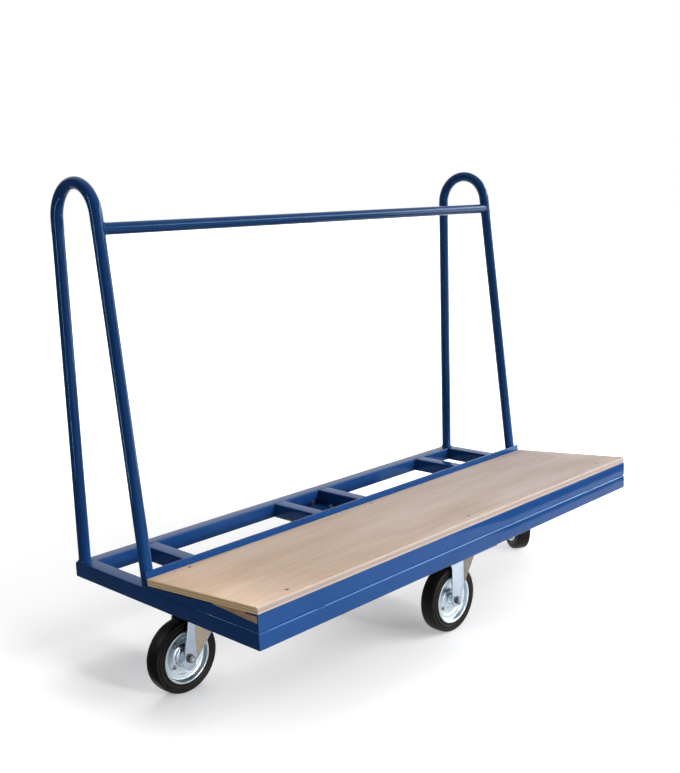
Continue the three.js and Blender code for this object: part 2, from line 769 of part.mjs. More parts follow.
// Ball race between the fork's crown and the top plate
function raceGeometry() {
  const bottom = crownTopHeight + runningGap;
  const top = castorHeight - castorPlateThickness - raceSeatDepth - seatGap;
  const outer = crownRadius - raceInset;
  const section = [
    [outer - raceWidth, bottom],
    [outer, bottom],
    [outer, top],
    [outer - raceWidth, top],
  ];
  return turned(section, wheelSides).rotateX(Math.PI / 2);
}

function addSwivelCastor(prefix, x, angle) {
  const castor = group(x, 0, 0);
  add(prefix + "_top_plate", topPlateGeometry(), zinc, castor);
  add(prefix + "_kingpin", kingpinGeometry(), zinc, castor);
  add(prefix + "_ball_race", raceGeometry(), darkSteel, castor);
  const turning = group(0, 0, 0, castor);
  turning.rotation.z = angle;
  const centre = group(-swivelTrail, 0, wheelRadius, turning);
  add(prefix + "_fork", forkGeometry(), zinc, centre);
  addAxle(prefix, centre);
  addWheel(prefix, centre);
}

function addCastors() {
  const midY = chassisWidth / 2 - midCastorInset;
  addMountPlate("left_mount_plate", -endBayCentre, 0);
  addMountPlate("right_mount_plate", endBayCentre, 0);
  addMountPlate("front_mount_plate", 0, -midY);
  addMountPlate("rear_mount_plate", 0, midY);
  addFixedCastor("front", -midY);
  addFixedCastor("rear", midY);
  addSwivelCastor("left", -endBayCentre, leftSwivelAngle);
  addSwivelCastor("right", endBayCentre, rightSwivelAngle);
}

addChassisFrame();
addFrontAngle();
const slope = slopeGroup();
addStopAngle(slope);
addDeck(slope);
addDeckSupports();
addHoopsAndTopRail();
addCastors();

export default cart;
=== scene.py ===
"""Sheet goods cart: the finished surfaces, fitted around the fixed model.

Metres, +Z up, +X along the length, the deck on the -Y side, the floor at z = 0.
"""

import json
import random
from math import atan2, cos, pi, radians, sin, sqrt, tan

import bmesh
import bpy
from mathutils import Matrix, Vector


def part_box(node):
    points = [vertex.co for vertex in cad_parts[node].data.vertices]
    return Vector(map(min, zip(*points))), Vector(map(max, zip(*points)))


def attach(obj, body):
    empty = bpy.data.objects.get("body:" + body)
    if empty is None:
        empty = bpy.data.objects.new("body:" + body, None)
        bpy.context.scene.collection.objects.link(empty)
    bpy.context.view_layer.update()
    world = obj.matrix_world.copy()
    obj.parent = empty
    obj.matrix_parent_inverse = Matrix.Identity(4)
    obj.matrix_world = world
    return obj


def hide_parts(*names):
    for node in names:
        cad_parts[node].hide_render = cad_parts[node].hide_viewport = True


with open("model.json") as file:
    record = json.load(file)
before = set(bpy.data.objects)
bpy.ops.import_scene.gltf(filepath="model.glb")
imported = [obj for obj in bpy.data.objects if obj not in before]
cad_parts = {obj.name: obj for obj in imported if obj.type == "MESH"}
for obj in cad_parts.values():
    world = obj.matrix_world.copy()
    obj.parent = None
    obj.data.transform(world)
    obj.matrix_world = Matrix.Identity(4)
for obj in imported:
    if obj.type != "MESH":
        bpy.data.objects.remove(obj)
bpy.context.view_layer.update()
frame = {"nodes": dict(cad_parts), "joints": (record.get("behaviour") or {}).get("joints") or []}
MM = 0.001
X_AXIS = Vector((1, 0, 0))
Z_AXIS = Vector((0, 0, 1))

# Names that repeat in the model
SIDES = ("left", "right")
FIXED_CASTORS = ("front", "rear")
CASTORS = SIDES + FIXED_CASTORS
CROSS_NAMES = ("left", "mid_left", "mid_right", "right")

# Camera of the photograph
IMAGE_HEIGHT = 773
FOCAL_LENGTH_PIXELS = 1015.04
CAMERA_PLACE = Vector((-2.25019, -2.07493, 1.25615))
CAMERA_AZIMUTH = radians(-45.65)
CAMERA_ELEVATION = radians(10.26)
CAMERA_ROLL = radians(-2.28)
SENSOR = 36

# Sizes of the chassis and deck that the model also has
RAIL_CORNER = 4 * MM
RAIL_WALL = 3 * MM
WELD_GAP = 0.2 * MM
DECK_TILT = radians(4.6)
BOARD_THICKNESS = 18 * MM
BOARD_SEAT = 0.3 * MM
BOARD_GAP = 3 * MM
FRONT_ANGLE_DEPTH = 45 * MM
FRONT_ANGLE_THICKNESS = 4 * MM
STOP_HEIGHT = 41 * MM
STOP_DEPTH = 40 * MM
STOP_THICKNESS = 5 * MM
HEAD_RADIUS = 6 * MM
SHANK_RADIUS = 2.5 * MM
SCREW_COUNT = 6

# Sizes of the hoops and top rail that the model also has
HOOP_TOP = 1350 * MM
HOOP_RADIUS = 17 * MM
HOOP_WALL = 2.5 * MM
FOOT_REAR_INSET = 0.6 * MM
FOOT_SPACING = 305 * MM
REAR_LEAN = radians(0.6)
FRONT_LEAN = radians(6.35)
TOP_RAIL_RADIUS = 16 * MM

# Sizes of the castors that the model also has
LEG_MIDDLE = 33.5 * MM
LEG_THICKNESS = 5 * MM
PLATE_THICKNESS = 6 * MM
PLATE_LENGTH = 135 * MM
PLATE_WIDTH = 114 * MM
BOLT_SPACING = Vector((105 * MM, 88 * MM))
FIXED_OFFSET = 39 * MM
SWIVEL_TRAIL = 63 * MM
CROWN_MIDDLE = 109.5 * MM
AXLE_RADIUS = 6 * MM

# Fineness of round shapes, and limits for telling faces and points apart
TUBE_SIDES = 40
BEND_STEPS = 36
CORNER_STEPS = 5
WHEEL_STEPS = 96
SMALL_STEPS = 24
SHARP = radians(32)
FACING = 0.8
LATHE_MERGE = 0.002 * MM

# Places read from the model
rail_low, rail_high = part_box("front_rail")
stop_low, stop_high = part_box("stop_angle")
RAIL_SIZE = rail_high.z - rail_low.z
RAIL_TOP = rail_high.z
RAIL_BOTTOM = rail_low.z
FRONT = rail_low.y
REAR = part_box("rear_rail")[1].y
LEFT = stop_low.x
RIGHT = stop_high.x
MIDDLE = (LEFT + RIGHT) / 2
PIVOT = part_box("front_angle")[1].z
joints = {joint["name"]: joint for joint in frame["joints"]}


# Mesh helpers

def in_metres(rows):
    """Rows of millimetres, in metres."""
    return [tuple(value * MM for value in row) for row in rows]


def turns(count):
    """The angles of a full turn in even steps."""
    return [2 * pi * i / count for i in range(count)]


def moved(x, y, z):
    return Matrix.Translation((x, y, z))


def rotation(degrees, axis):
    return Matrix.Rotation(radians(degrees), 4, axis)


def top_middle(node):
    """The middle of the top of a node's box."""
    low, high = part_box(node)
    return Vector(((low.x + high.x) / 2, (low.y + high.y) / 2, high.z))


def skin(bm, rings, loop=False, cap=True):
    """Faces between rings of points, closed by caps or, with loop, by joining last to first."""
    made = [[bm.verts.new(point) for point in ring] for ring in rings]
    pairs = list(zip(made, made[1:]))
    if loop:
        pairs.append((made[-1], made[0]))
    for a, b in pairs:
        for i in range(len(a)):
            j = (i + 1) % len(a)
            bm.faces.new((a[i], a[j], b[j], b[i]))
    if cap and not loop:
        bm.faces.new(list(reversed(made[0])))
        bm.faces.new(made[-1])


def lathe(bm, profile, steps, place, loop=False):
    """A profile of (radius, height) turned about the Z axis of place."""
    rings = []
    for radius, height in profile:
        ring = [(radius * cos(t), radius * sin(t), height) for t in turns(steps)]
        rings.append([place @ Vector(point) for point in ring])
    skin(bm, rings, loop=loop)
    bmesh.ops.remove_doubles(bm, verts=bm.verts, dist=LATHE_MERGE)


def rounded(corners, steps=CORNER_STEPS):
    """A closed outline from (a, b, radius) corners, each rounded by its radius."""
    outline = []
    for i, (a, b, radius) in enumerate(corners):
        here = Vector((a, b))
        if not radius:
            outline.append(here)
            continue
        before = (Vector(corners[i - 1][:2]) - here).normalized()
        after = (Vector(corners[(i + 1) % len(corners)][:2]) - here).normalized()
        half = before.angle(after) / 2
        centre = here + (before + after).normalized() * radius / sin(half)
        start = here + before * radius / tan(half) - centre
        end = here + after * radius / tan(half) - centre
        for step in range(steps + 1):
            share = step / steps
            outline.append(centre + (start * (1 - share) + end * share).normalized() * radius)
    return outline


def rounded_rectangle(x0, x1, y0, y1, radius):
    return rounded([(x0, y0, radius), (x1, y0, radius), (x1, y1, radius), (x0, y1, radius)])


def slab(bm, outline, z0, z1):
    """An (x, y) outline drawn out along Z."""
    skin(bm, [[Vector((p[0], p[1], z)) for p in outline] for z in (z0, z1)])


def soften(bm, width, segments=2):
    """Round every sharp edge by a small width."""
    bm.normal_update()
    edges = [e for e in bm.edges if len(e.link_faces) == 2 and e.calc_face_angle() > SHARP]
    bmesh.ops.bevel(
        bm, geom=edges, offset=width, segments=segments, profile=0.5, affect="EDGES", clamp_overlap=True)


def path_rings(points, radii, reference, sides, closed=False):
    """Circles around a line of points, which start on the side of a reference direction."""
    rings = []
    count = len(points)
    for i, point in enumerate(points):
        after = points[(i + 1) % count] if closed or i < count - 1 else point
        before = points[i - 1] if closed or i else point
        along = (after - before).normalized()
        out = (reference - along * reference.dot(along)).normalized()
        across = along.cross(out)
        offsets = [out * cos(t) + across * sin(t) for t in turns(sides)]
        rings.append([point + offset * radii[i] for offset in offsets])
    return rings


def mesh_from(name, bm):
    mesh = bpy.data.meshes.new(name)
    bm.to_mesh(mesh)
    bm.free()
    return mesh


def new_object(name, data):
    made = bpy.data.objects.new(name, data)
    bpy.context.scene.collection.objects.link(made)
    return made


def piece(name, bm, material, body="chassis", stands_for=(), place=None):
    """A finished object that rides on a body and may stand for nodes of the model."""
    bmesh.ops.recalc_face_normals(bm, faces=bm.faces)
    mesh = mesh_from(name, bm)
    if place:
        mesh.transform(place)
    shade(mesh)
    mesh.materials.append(material)
    made = new_object(name, mesh)
    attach(made, body)
    slot_of(material)
    if stands_for:
        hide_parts(*stands_for)
    return made


def shade(mesh):
    mesh.polygons.foreach_set("use_smooth", [True] * len(mesh.polygons))
    mesh.set_sharp_from_angle(angle=SHARP)


def settle(made):
    """Apply the modifiers of an object to its mesh."""
    bpy.context.view_layer.update()
    graph = bpy.context.evaluated_depsgraph_get()
    mesh = bpy.data.meshes.new_from_object(made.evaluated_get(graph))
    made.modifiers.clear()
    made.data = mesh
    shade(mesh)


def cut(made, bm):
    """Take the closed shape in bm out of an object."""
    bmesh.ops.recalc_face_normals(bm, faces=bm.faces)
    cutter = new_object("cutter", mesh_from("cutter", bm))
    modifier = made.modifiers.new("cut", "BOOLEAN")
    modifier.object = cutter
    modifier.solver = "EXACT"
    settle(made)
    bpy.data.objects.remove(cutter)


# Node helpers

FINISH = "_finish"
EVEN = (1, 1, 1)
WHITE = (1, 1, 1)
NOISE_RANGE = (0.3, 0.7)


def new_material(slot):
    """A material named after a slot of the record, with a suffix of its own."""
    material = bpy.data.materials.new(slot + FINISH)
    material.use_nodes = True
    return material, material.node_tree, material.node_tree.nodes["Principled BSDF"]


def slot_of(material):
    return material.name.split(FINISH)[0]


def fill(node, values):
    """Set or link the inputs of a node, given by name or number."""
    for name, value in values.items():
        if isinstance(value, bpy.types.NodeSocket):
            node.id_data.links.new(value, node.inputs[name])
        else:
            node.inputs[name].default_value = value


def add_node(tree, kind, values):
    """A new shader node with its inputs filled."""
    node = tree.nodes.new("ShaderNode" + kind)
    fill(node, values)
    return node


def own_place(tree):
    return add_node(tree, "TexCoord", {}).outputs["Object"]


def along(place, axis):
    """One coordinate of a place."""
    return add_node(place.id_data, "SeparateXYZ", {"Vector": place}).outputs[axis]


def noise(tree, stretch, scale, detail=3, place=None):
    """Noise in the object's own coordinates, stretched along its axes."""
    if place is None:
        place = own_place(tree)
    mapping = add_node(tree, "Mapping", {"Vector": place, "Scale": stretch})
    values = {"Vector": mapping.outputs["Vector"], "Scale": scale, "Detail": detail}
    return add_node(tree, "TexNoise", values).outputs["Fac"]


def ramp(factor, stops):
    """Colours over a factor, from (place, colour) stops."""
    made = add_node(factor.id_data, "ValToRGB", {"Fac": factor})
    elements = made.color_ramp.elements
    while len(elements) < len(stops):
        elements.new(0.5)
    for element, (place, colour) in zip(elements, stops):
        element.position = place
        element.color = (*colour, 1)
    return made.outputs["Color"]


def map_range(value, target, source=NOISE_RANGE, interpolation="LINEAR"):
    """A value mapped from one range, that of noise unless given, to another."""
    made = add_node(value.id_data, "MapRange", {
        "Value": value, "From Min": source[0], "From Max": source[1],
        "To Min": target[0], "To Max": target[1]})
    made.interpolation_type = interpolation
    return made.outputs["Result"]


def calculate(operation, a, b):
    """The result of a socket and another socket or a number."""
    made = add_node(a.id_data, "Math", {0: a, 1: b})
    made.operation = operation
    return made.outputs["Value"]


def multiply(a, b, share):
    """One colour times another, by a share."""
    made = add_node(a.id_data, "Mix", {})
    made.data_type = "RGBA"
    made.blend_type = "MULTIPLY"
    fill(made, {"Factor": share, "A": a, "B": b})
    return made.outputs["Result"]


def bump(height, strength, distance):
    """A surface normal from small heights."""
    values = {"Height": height, "Strength": strength, "Distance": distance}
    return add_node(height.id_data, "Bump", values).outputs["Normal"]


# Materials

def make_blue_paint(shine):
    """Gloss paint with a faint cloud of tone."""
    material, tree, shader = new_material("blue_paint")
    cloud = noise(tree, EVEN, 9)
    tone = ramp(cloud, [(0.3, (0.0088, 0.0445, 0.16)), (0.7, (0.0105, 0.051, 0.184))])
    gloss = map_range(noise(tree, EVEN, 60), (0.07, 0.1))
    peel = noise(tree, EVEN, 420, 2)
    fill(shader, {
        "Base Color": tone, "Roughness": gloss, "Specular IOR Level": shine,
        "Specular Tint": (0.26, 0.63, 1, 1), "Normal": bump(peel, 0.06, 0.4 * MM)})
    return material


def make_veneer():
    """Wood veneer: clouds of tone, dark streaks and fine pores, with painted light: paler towards the
    left end, greyer and bluer towards the right.
    """
    material, tree, shader = new_material("plywood")
    cloud = noise(tree, (1, 5, 5), 2.6, 4)
    tone = ramp(cloud, [
        (0.3, (0.64, 0.455, 0.325)), (0.55, (0.72, 0.543, 0.411)), (0.75, (0.768, 0.593, 0.467))])
    streaks = noise(tree, (1.5, 60, 60), 2, 5)
    dark = ramp(streaks, [(0.35, (0.8, 0.74, 0.68)), (0.55, WHITE)])
    pores = noise(tree, (12, 420, 420), 2, 2)
    fine = ramp(pores, [(0.38, (0.82, 0.76, 0.7)), (0.48, WHITE)])
    grain = multiply(multiply(tone, dark, 0.38), fine, 0.55)
    share = map_range(along(own_place(tree), "X"), (0, 1), (LEFT, RIGHT))
    # Painted light and painted reflection: the board is written paler at its left end and greyer and
    # bluer towards its right end.
    painted_light_drift = ramp(share, [
        (0, WHITE), (0.14, (0.77, 0.79, 0.83)), (0.7, (0.745, 0.84, 1)), (1, (0.68, 0.77, 0.94))])
    gloss = map_range(streaks, (0.6, 0.75))
    fill(shader, {
        "Base Color": multiply(grain, painted_light_drift, 1), "Roughness": gloss,
        "Specular IOR Level": 0.18, "Normal": bump(pores, 0.12, 0.5 * MM)})
    return material


LAYER_START = 0.12
LAYER_END = 0.86


def ply_layers(count, pale, brown, glue):
    """Colour stops for pale and brown layers in turn, with a dark line at each joint."""
    stops = []
    for layer in range(count):
        tone = brown if layer % 2 else pale
        stops.append(((layer + LAYER_START) / count, tone))
        stops.append(((layer + LAYER_END) / count, tone))
        stops.append(((layer + 1) / count, glue))
    return stops[:-1]


def make_ply_edge(name, count, *tones):
    """Layers across the board's thickness, long grain and end grain in turn."""
    material, tree, shader = new_material(name)
    level = FRONT * sin(DECK_TILT) + PIVOT * cos(DECK_TILT) + BOARD_SEAT
    mapping = add_node(tree, "Mapping", {
        "Vector": own_place(tree), "Rotation": (DECK_TILT, 0, 0), "Location": (0, 0, -level)})
    untilted = mapping.outputs["Vector"]
    share = calculate("DIVIDE", along(untilted, "Z"), BOARD_THICKNESS)
    tone = ramp(share, ply_layers(count, *tones))
    fibre = noise(tree, (3, 3, 160), 3, 3, untilted)
    dark = ramp(fibre, [(0.35, (0.7, 0.64, 0.58)), (0.6, WHITE)])
    fill(shader, {
        "Base Color": multiply(tone, dark, 0.4), "Roughness": 0.75,
        "Specular IOR Level": 0.3, "Normal": bump(fibre, 0.2, 0.5 * MM)})
    return material


def make_softwood():
    """Rough sawn softwood with year rings."""
    material, tree, shader = new_material("softwood")
    rings = noise(tree, (30, 2, 60), 4, 4)
    tone = ramp(rings, [
        (0.32, (0.33, 0.19, 0.095)), (0.5, (0.47, 0.3, 0.17)), (0.68, (0.56, 0.39, 0.24))])
    fill(shader, {
        "Base Color": tone, "Roughness": 0.8, "Specular IOR Level": 0.25,
        "Normal": bump(rings, 0.25, 0.6 * MM)})
    return material


def make_metal(name, dark, light, roughness, grain=300):
    """Plated steel with a faint cloud of tone and a fine dull grain."""
    material, tree, shader = new_material(name)
    cloud = noise(tree, EVEN, 24, 4)
    gloss = map_range(noise(tree, EVEN, 130, 4), roughness)
    roughened = bump(noise(tree, EVEN, grain, 2), 0.008, 0.2 * MM)
    fill(shader, {
        "Base Color": ramp(cloud, [(0.32, dark), (0.68, light)]), "Roughness": gloss,
        "Metallic": 1, "Normal": roughened})
    return material


def make_rubber():
    """Black rubber with a little dust."""
    material, tree, shader = new_material("tyre_rubber")
    dust = noise(tree, EVEN, 35, 5)
    tone = ramp(dust, [(0.35, (0.007, 0.0058, 0.0052)), (0.7, (0.013, 0.0108, 0.0098))])
    gloss = map_range(dust, (0.4, 0.52))
    roughened = bump(noise(tree, EVEN, 700, 3), 0.12, 0.3 * MM)
    fill(shader, {
        "Base Color": tone, "Roughness": gloss, "Specular IOR Level": 0.13, "Normal": roughened})
    return material


blue_paint = make_blue_paint(shine=0.17)
seam_paint = make_blue_paint(shine=1)
veneer = make_veneer()
# Painted light and shade: one birch ply edge in two copies, paler and more golden on the ends, darker on
# the brightly lit front.
end_edge_painted_light = make_ply_edge(
    "ply_end_edge", 5, (0.9, 0.67, 0.39), (0.76, 0.52, 0.27), (0.37, 0.215, 0.105))
front_edge_painted_shade = make_ply_edge(
    "ply_front_edge", 3, (0.41, 0.345, 0.31), (0.32, 0.26, 0.232), (0.22, 0.16, 0.13))
softwood = make_softwood()
zinc = make_metal("zinc_plate", (0.39, 0.45, 0.53), (0.45, 0.52, 0.605), (0.22, 0.3))
# Painted shade: darker, warmer copies of the zinc for the castor legs' outer flanks.
fork_flank_painted_shade = make_metal("zinc_plate", (0.32, 0.265, 0.21), (0.43, 0.365, 0.295), (0.3, 0.38))
bracket_flank_painted_shade = make_metal("zinc_plate", (0.15, 0.135, 0.115), (0.215, 0.195, 0.17), (0.3, 0.38))
wheel_zinc = make_metal("wheel_zinc", (0.52, 0.6, 0.65), (0.56, 0.64, 0.695), (0.3, 0.36))
screw_zinc = make_metal("screw_zinc", (0.1, 0.08, 0.06), (0.16, 0.13, 0.1), (0.3, 0.42), 900)
dark_steel = make_metal("dark_steel", (0.12, 0.12, 0.13), (0.2, 0.2, 0.22), (0.35, 0.5), 700)
rubber = make_rubber()


# Weld beads

RIPPLE = 3.6 * MM
RIPPLE_POINTS = 4
RIPPLE_DEPTH = 0.14
BEAD_SIDES = 10
BEAD_WOBBLE = 0.03
BEAD_END = 0.35
ROUNDING = 1e-9


def resample(points, step, closed):
    """Points at an even spacing along a line."""
    line = points + [points[0]] if closed else points
    total = sum((b - a).length for a, b in zip(line, line[1:]))
    count = max(2, round(total / step))
    made = []
    travelled = 0
    for a, b in zip(line, line[1:]):
        length = (b - a).length
        while len(made) * total / count <= travelled + length + ROUNDING and len(made) < count:
            made.append(a.lerp(b, (len(made) * total / count - travelled) / length))
        travelled += length
    return made if closed else made + [line[-1]]


def weld(name, points, radius, reference, closed=False):
    """A rippled bead of weld metal along a line, thinner at open ends."""
    line = resample(points, RIPPLE / RIPPLE_POINTS, closed)
    draw = random.Random(name)
    radii = []
    for i in range(len(line)):
        hollow = RIPPLE_DEPTH * (0.5 - 0.5 * cos(2 * pi * i / RIPPLE_POINTS))
        from_end = min(i, len(line) - 1 - i) / RIPPLE_POINTS
        taper = 1 if closed else min(1, BEAD_END + (1 - BEAD_END) * from_end)
        radii.append(radius * taper * (1 - hollow + draw.uniform(-BEAD_WOBBLE, BEAD_WOBBLE)))
    bm = bmesh.new()
    skin(bm, path_rings(line, radii, reference, BEAD_SIDES, closed), loop=closed)
    return piece(name, bm, blue_paint)


# Chassis

RAIL_INNER_CORNER = 1 * MM


def box_tube(name, length, place, mitred=True):
    """Box section along X with its outer face at y = 0, with ends mitred or square."""
    far = RAIL_SIZE - RAIL_WALL
    outer = rounded_rectangle(0, RAIL_SIZE, 0, RAIL_SIZE, RAIL_CORNER)
    inner = rounded_rectangle(RAIL_WALL, far, RAIL_WALL, far, RAIL_INNER_CORNER)
    rings = []
    for outline, end in ((outer, -1), (outer, 1), (inner, 1), (inner, -1)):
        ring = []
        for y, z in outline:
            back = y + WELD_GAP if mitred else 0
            ring.append(place @ Vector((end * (length / 2 - back), y, z)))
        rings.append(ring)
    bm = bmesh.new()
    skin(bm, rings, loop=True)
    return piece(name + "_tube", bm, blue_paint, stands_for=[name])


SEAM_FACING = 0.1


def polish_seam(rail):
    """Glossier paint on the front rail's upper corner, for the bright line along the seam."""
    rail.data.materials.append(seam_paint)
    for polygon in rail.data.polygons:
        centre = polygon.center
        normal = polygon.normal
        at_corner = centre.y < FRONT + RAIL_CORNER and centre.z > RAIL_TOP - RAIL_CORNER
        if at_corner and normal.y < -SEAM_FACING and normal.z > SEAM_FACING:
            polygon.material_index = 1


def turned(x, y, degrees):
    """A frame at the rails' underside, turned about the upright axis."""
    return moved(x, y, RAIL_BOTTOM) @ rotation(degrees, "Z")


def make_chassis():
    width = REAR - FRONT
    length = RIGHT - LEFT
    polish_seam(box_tube("front_rail", length, turned(MIDDLE, FRONT, 0)))
    box_tube("rear_rail", length, turned(MIDDLE, REAR, 180))
    box_tube("left_end_rail", width, turned(LEFT, 0, -90))
    box_tube("right_end_rail", width, turned(RIGHT, 0, 90))
    for name in CROSS_NAMES:
        low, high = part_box("cross_member_" + name)
        box_tube("cross_member_" + name, high.y - low.y, turned(high.x, 0, 90), mitred=False)


CORNER_BEAD = 1.6 * MM
CORNER_SINK = 0.5 * CORNER_BEAD
CROSS_BEAD = 2.2 * MM
CROSS_SINK = 0.4 * CROSS_BEAD
STITCH_BEAD = 2 * MM
STITCH_SINK = 0.5 * STITCH_BEAD
STITCH_LENGTH = 30 * MM
SEAM_STITCHES = (-0.809, -0.621, 0.644, 0.848)


def make_chassis_welds():
    """Beads at the corners and the members' ends, and stitches along the seam."""
    for x, side in ((LEFT + CORNER_SINK, "left"), (RIGHT - CORNER_SINK, "right")):
        for y, end in ((FRONT + CORNER_SINK, "front"), (REAR - CORNER_SINK, "rear")):
            line = [Vector((x, y, z)) for z in (RAIL_BOTTOM + RAIL_CORNER, RAIL_TOP - RAIL_CORNER)]
            weld(f"{side}_{end}_corner_weld", line, CORNER_BEAD, X_AXIS)
    for name in CROSS_NAMES:
        low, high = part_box("cross_member_" + name)
        ends = (low.x + RAIL_CORNER, high.x - RAIL_CORNER)
        for y, end in ((low.y, "front"), (high.y, "rear")):
            line = [Vector((x, y, RAIL_TOP - CROSS_SINK)) for x in ends]
            weld(f"cross_member_{name}_{end}_weld", line, CROSS_BEAD, Z_AXIS)
    for number, x in enumerate(SEAM_STITCHES, start=1):
        middle = Vector((x, FRONT + STITCH_SINK, RAIL_TOP))
        line = [middle + X_AXIS * end * STITCH_LENGTH / 2 for end in (-1, 1)]
        weld(f"front_seam_weld_{number}", line, STITCH_BEAD, Z_AXIS)


# Deck

slope_place = moved(0, FRONT, PIVOT) @ Matrix.Rotation(-DECK_TILT, 4, "X")
STOP_REAR = (slope_place.inverted() @ Vector((0, stop_high.y, stop_high.z))).y
BOARD_DEPTH = STOP_REAR - STOP_THICKNESS - BOARD_GAP
BOARD_TOP = BOARD_SEAT + BOARD_THICKNESS
BOARD_EDGE = 0.6 * MM
BOARD_CORNER = 1.5 * MM
FRONT_EDGE_FACING = 0.7
SINK_DEPTH = 8 * MM
SINK_NECK = 4 * MM
SINK_LIP = 0.6 * MM
SINK_RADIUS = HEAD_RADIUS + 0.5 * MM
CUT_OVER = 2 * MM


def screw_places():
    """Where the screws stand on the board, in the frame of the slope."""
    numbers = range(1, SCREW_COUNT + 1)
    tops = [slope_place.inverted() @ top_middle(f"deck_screw_{number}") for number in numbers]
    return [(top.x, top.y) for top in tops]


def make_board():
    """The board with its screw holes, and layered edges on its ends and front: lit and shaded copies of
    one ply edge, the ends written paler and the front darker.
    """
    bm = bmesh.new()
    slab(bm, rounded_rectangle(LEFT, RIGHT, 0, BOARD_DEPTH, BOARD_CORNER), BOARD_SEAT, BOARD_TOP)
    soften(bm, BOARD_EDGE, segments=3)
    board = piece("deck_panel", bm, veneer, stands_for=["deck_board"], place=slope_place)
    board.data.materials.append(end_edge_painted_light)
    board.data.materials.append(front_edge_painted_shade)
    sinks = bmesh.new()
    profile = [
        (0, -SINK_DEPTH), (SHANK_RADIUS, -SINK_DEPTH), (SHANK_RADIUS, -SINK_NECK),
        (SINK_RADIUS, -SINK_LIP), (SINK_RADIUS, CUT_OVER), (0, CUT_OVER)]
    for x, y in screw_places():
        lathe(sinks, profile, SMALL_STEPS, slope_place @ moved(x, y, BOARD_TOP))
    cut(board, sinks)
    up = slope_place.to_3x3() @ Z_AXIS
    # The front edge gets the darker, painted-shade copy and the end edges the paler, painted-light copy.
    for polygon in board.data.polygons:
        if abs(polygon.normal.dot(up)) < FACING:
            polygon.material_index = 2 if polygon.normal.y < -FRONT_EDGE_FACING else 1


SCREW_DROP = 0.3 * MM
SCREW_LENGTH = 7 * MM
SCREW_RIM = 0.5 * MM
RIM_EDGE = 0.2 * MM
RIM_DROP = 0.1 * MM
RIM_ROUND = 0.7 * MM
SCREW_NECK = SCREW_RIM + HEAD_RADIUS - SHANK_RADIUS
RECESS_LEVELS = in_metres([(-2.2, 1, 0.45), (0.5, 3.2, 0.65)])
RECESS_TURN = 20


def make_screws():
    """Countersunk heads with a cross recess, each turned further than the last."""
    profile = [
        (0, -SCREW_LENGTH), (SHANK_RADIUS, -SCREW_LENGTH), (SHANK_RADIUS, -SCREW_NECK),
        (HEAD_RADIUS, -SCREW_RIM), (HEAD_RADIUS - RIM_EDGE, -RIM_DROP),
        (HEAD_RADIUS - RIM_ROUND, 0), (0, 0)]
    for number, (x, y) in enumerate(screw_places(), start=1):
        place = slope_place @ moved(x, y, BOARD_TOP - SCREW_DROP)
        bm = bmesh.new()
        lathe(bm, profile, SMALL_STEPS, place)
        screw = piece(f"deck_screw_{number}_head", bm, screw_zinc, stands_for=[f"deck_screw_{number}"])
        for turn in (RECESS_TURN * number, RECESS_TURN * number + 90):
            bar = place @ rotation(turn, "Z")
            rings = []
            for z, reach, half in RECESS_LEVELS:
                corners = ((-reach, -half), (reach, -half), (reach, half), (-reach, half))
                rings.append([bar @ Vector((a, b, z)) for a, b in corners])
            recess = bmesh.new()
            skin(recess, rings)
            cut(screw, recess)


def make_section(name, node, corners, place):
    """A section of rounded (y, z, radius) corners, drawn out along the cart."""
    outline = rounded(corners)
    bm = bmesh.new()
    skin(bm, [[Vector((x, *point)) for point in outline] for x in (LEFT, RIGHT)])
    piece(name, bm, blue_paint, stands_for=[node], place=place)


SEAM_OPENING = 2.4 * MM
SEAM_DEPTH = 3.2 * MM
SEAM_EDGE = 0.5 * MM
SEAM_ROOT = 0.3 * MM
FOOT_EDGE = 0.2 * MM
FOLD_OUTSIDE = 3 * MM
FOLD_INSIDE = 1.5 * MM
SHEET_EDGE = 0.6 * MM
STOP_EDGE = 0.5 * MM
STOP_HEEL = 0.8 * MM
STOP_ROOT = 2 * MM
STOP_TOE = 2.5 * MM


def make_front_angle():
    """The folded angle along the front, with a rebate for the seam at its foot."""
    thick = FRONT_ANGLE_THICKNESS
    slope_sin = sin(DECK_TILT)
    slope_cos = cos(DECK_TILT)
    height = PIVOT - RAIL_TOP
    tip_y = FRONT_ANGLE_DEPTH * slope_cos
    tip_z = height - FRONT_ANGLE_DEPTH * slope_sin
    inner_z = height - thick / slope_cos - thick * tan(DECK_TILT)
    corners = [
        (0, SEAM_OPENING, SEAM_EDGE), (SEAM_DEPTH, SEAM_OPENING, SEAM_ROOT),
        (SEAM_DEPTH, WELD_GAP, FOOT_EDGE), (thick, WELD_GAP, FOOT_EDGE), (thick, inner_z, FOLD_INSIDE),
        (tip_y - thick * slope_sin, tip_z - thick * slope_cos, SHEET_EDGE),
        (tip_y, tip_z, SHEET_EDGE), (0, height, FOLD_OUTSIDE)]
    make_section("front_fascia", "front_angle", corners, moved(0, FRONT, RAIL_TOP))


def make_stop_angle():
    """The rolled angle under and behind the board's rear edge."""
    top = STOP_HEIGHT - STOP_THICKNESS
    tip = STOP_REAR - STOP_DEPTH
    face = STOP_REAR - STOP_THICKNESS
    corners = [
        (tip, -STOP_THICKNESS, STOP_EDGE), (STOP_REAR, -STOP_THICKNESS, STOP_HEEL),
        (STOP_REAR, top, STOP_EDGE), (face, top, STOP_TOE), (face, 0, STOP_ROOT), (tip, 0, STOP_TOE)]
    make_section("deck_stop", "stop_angle", corners, slope_place)


# Hoops and top rail

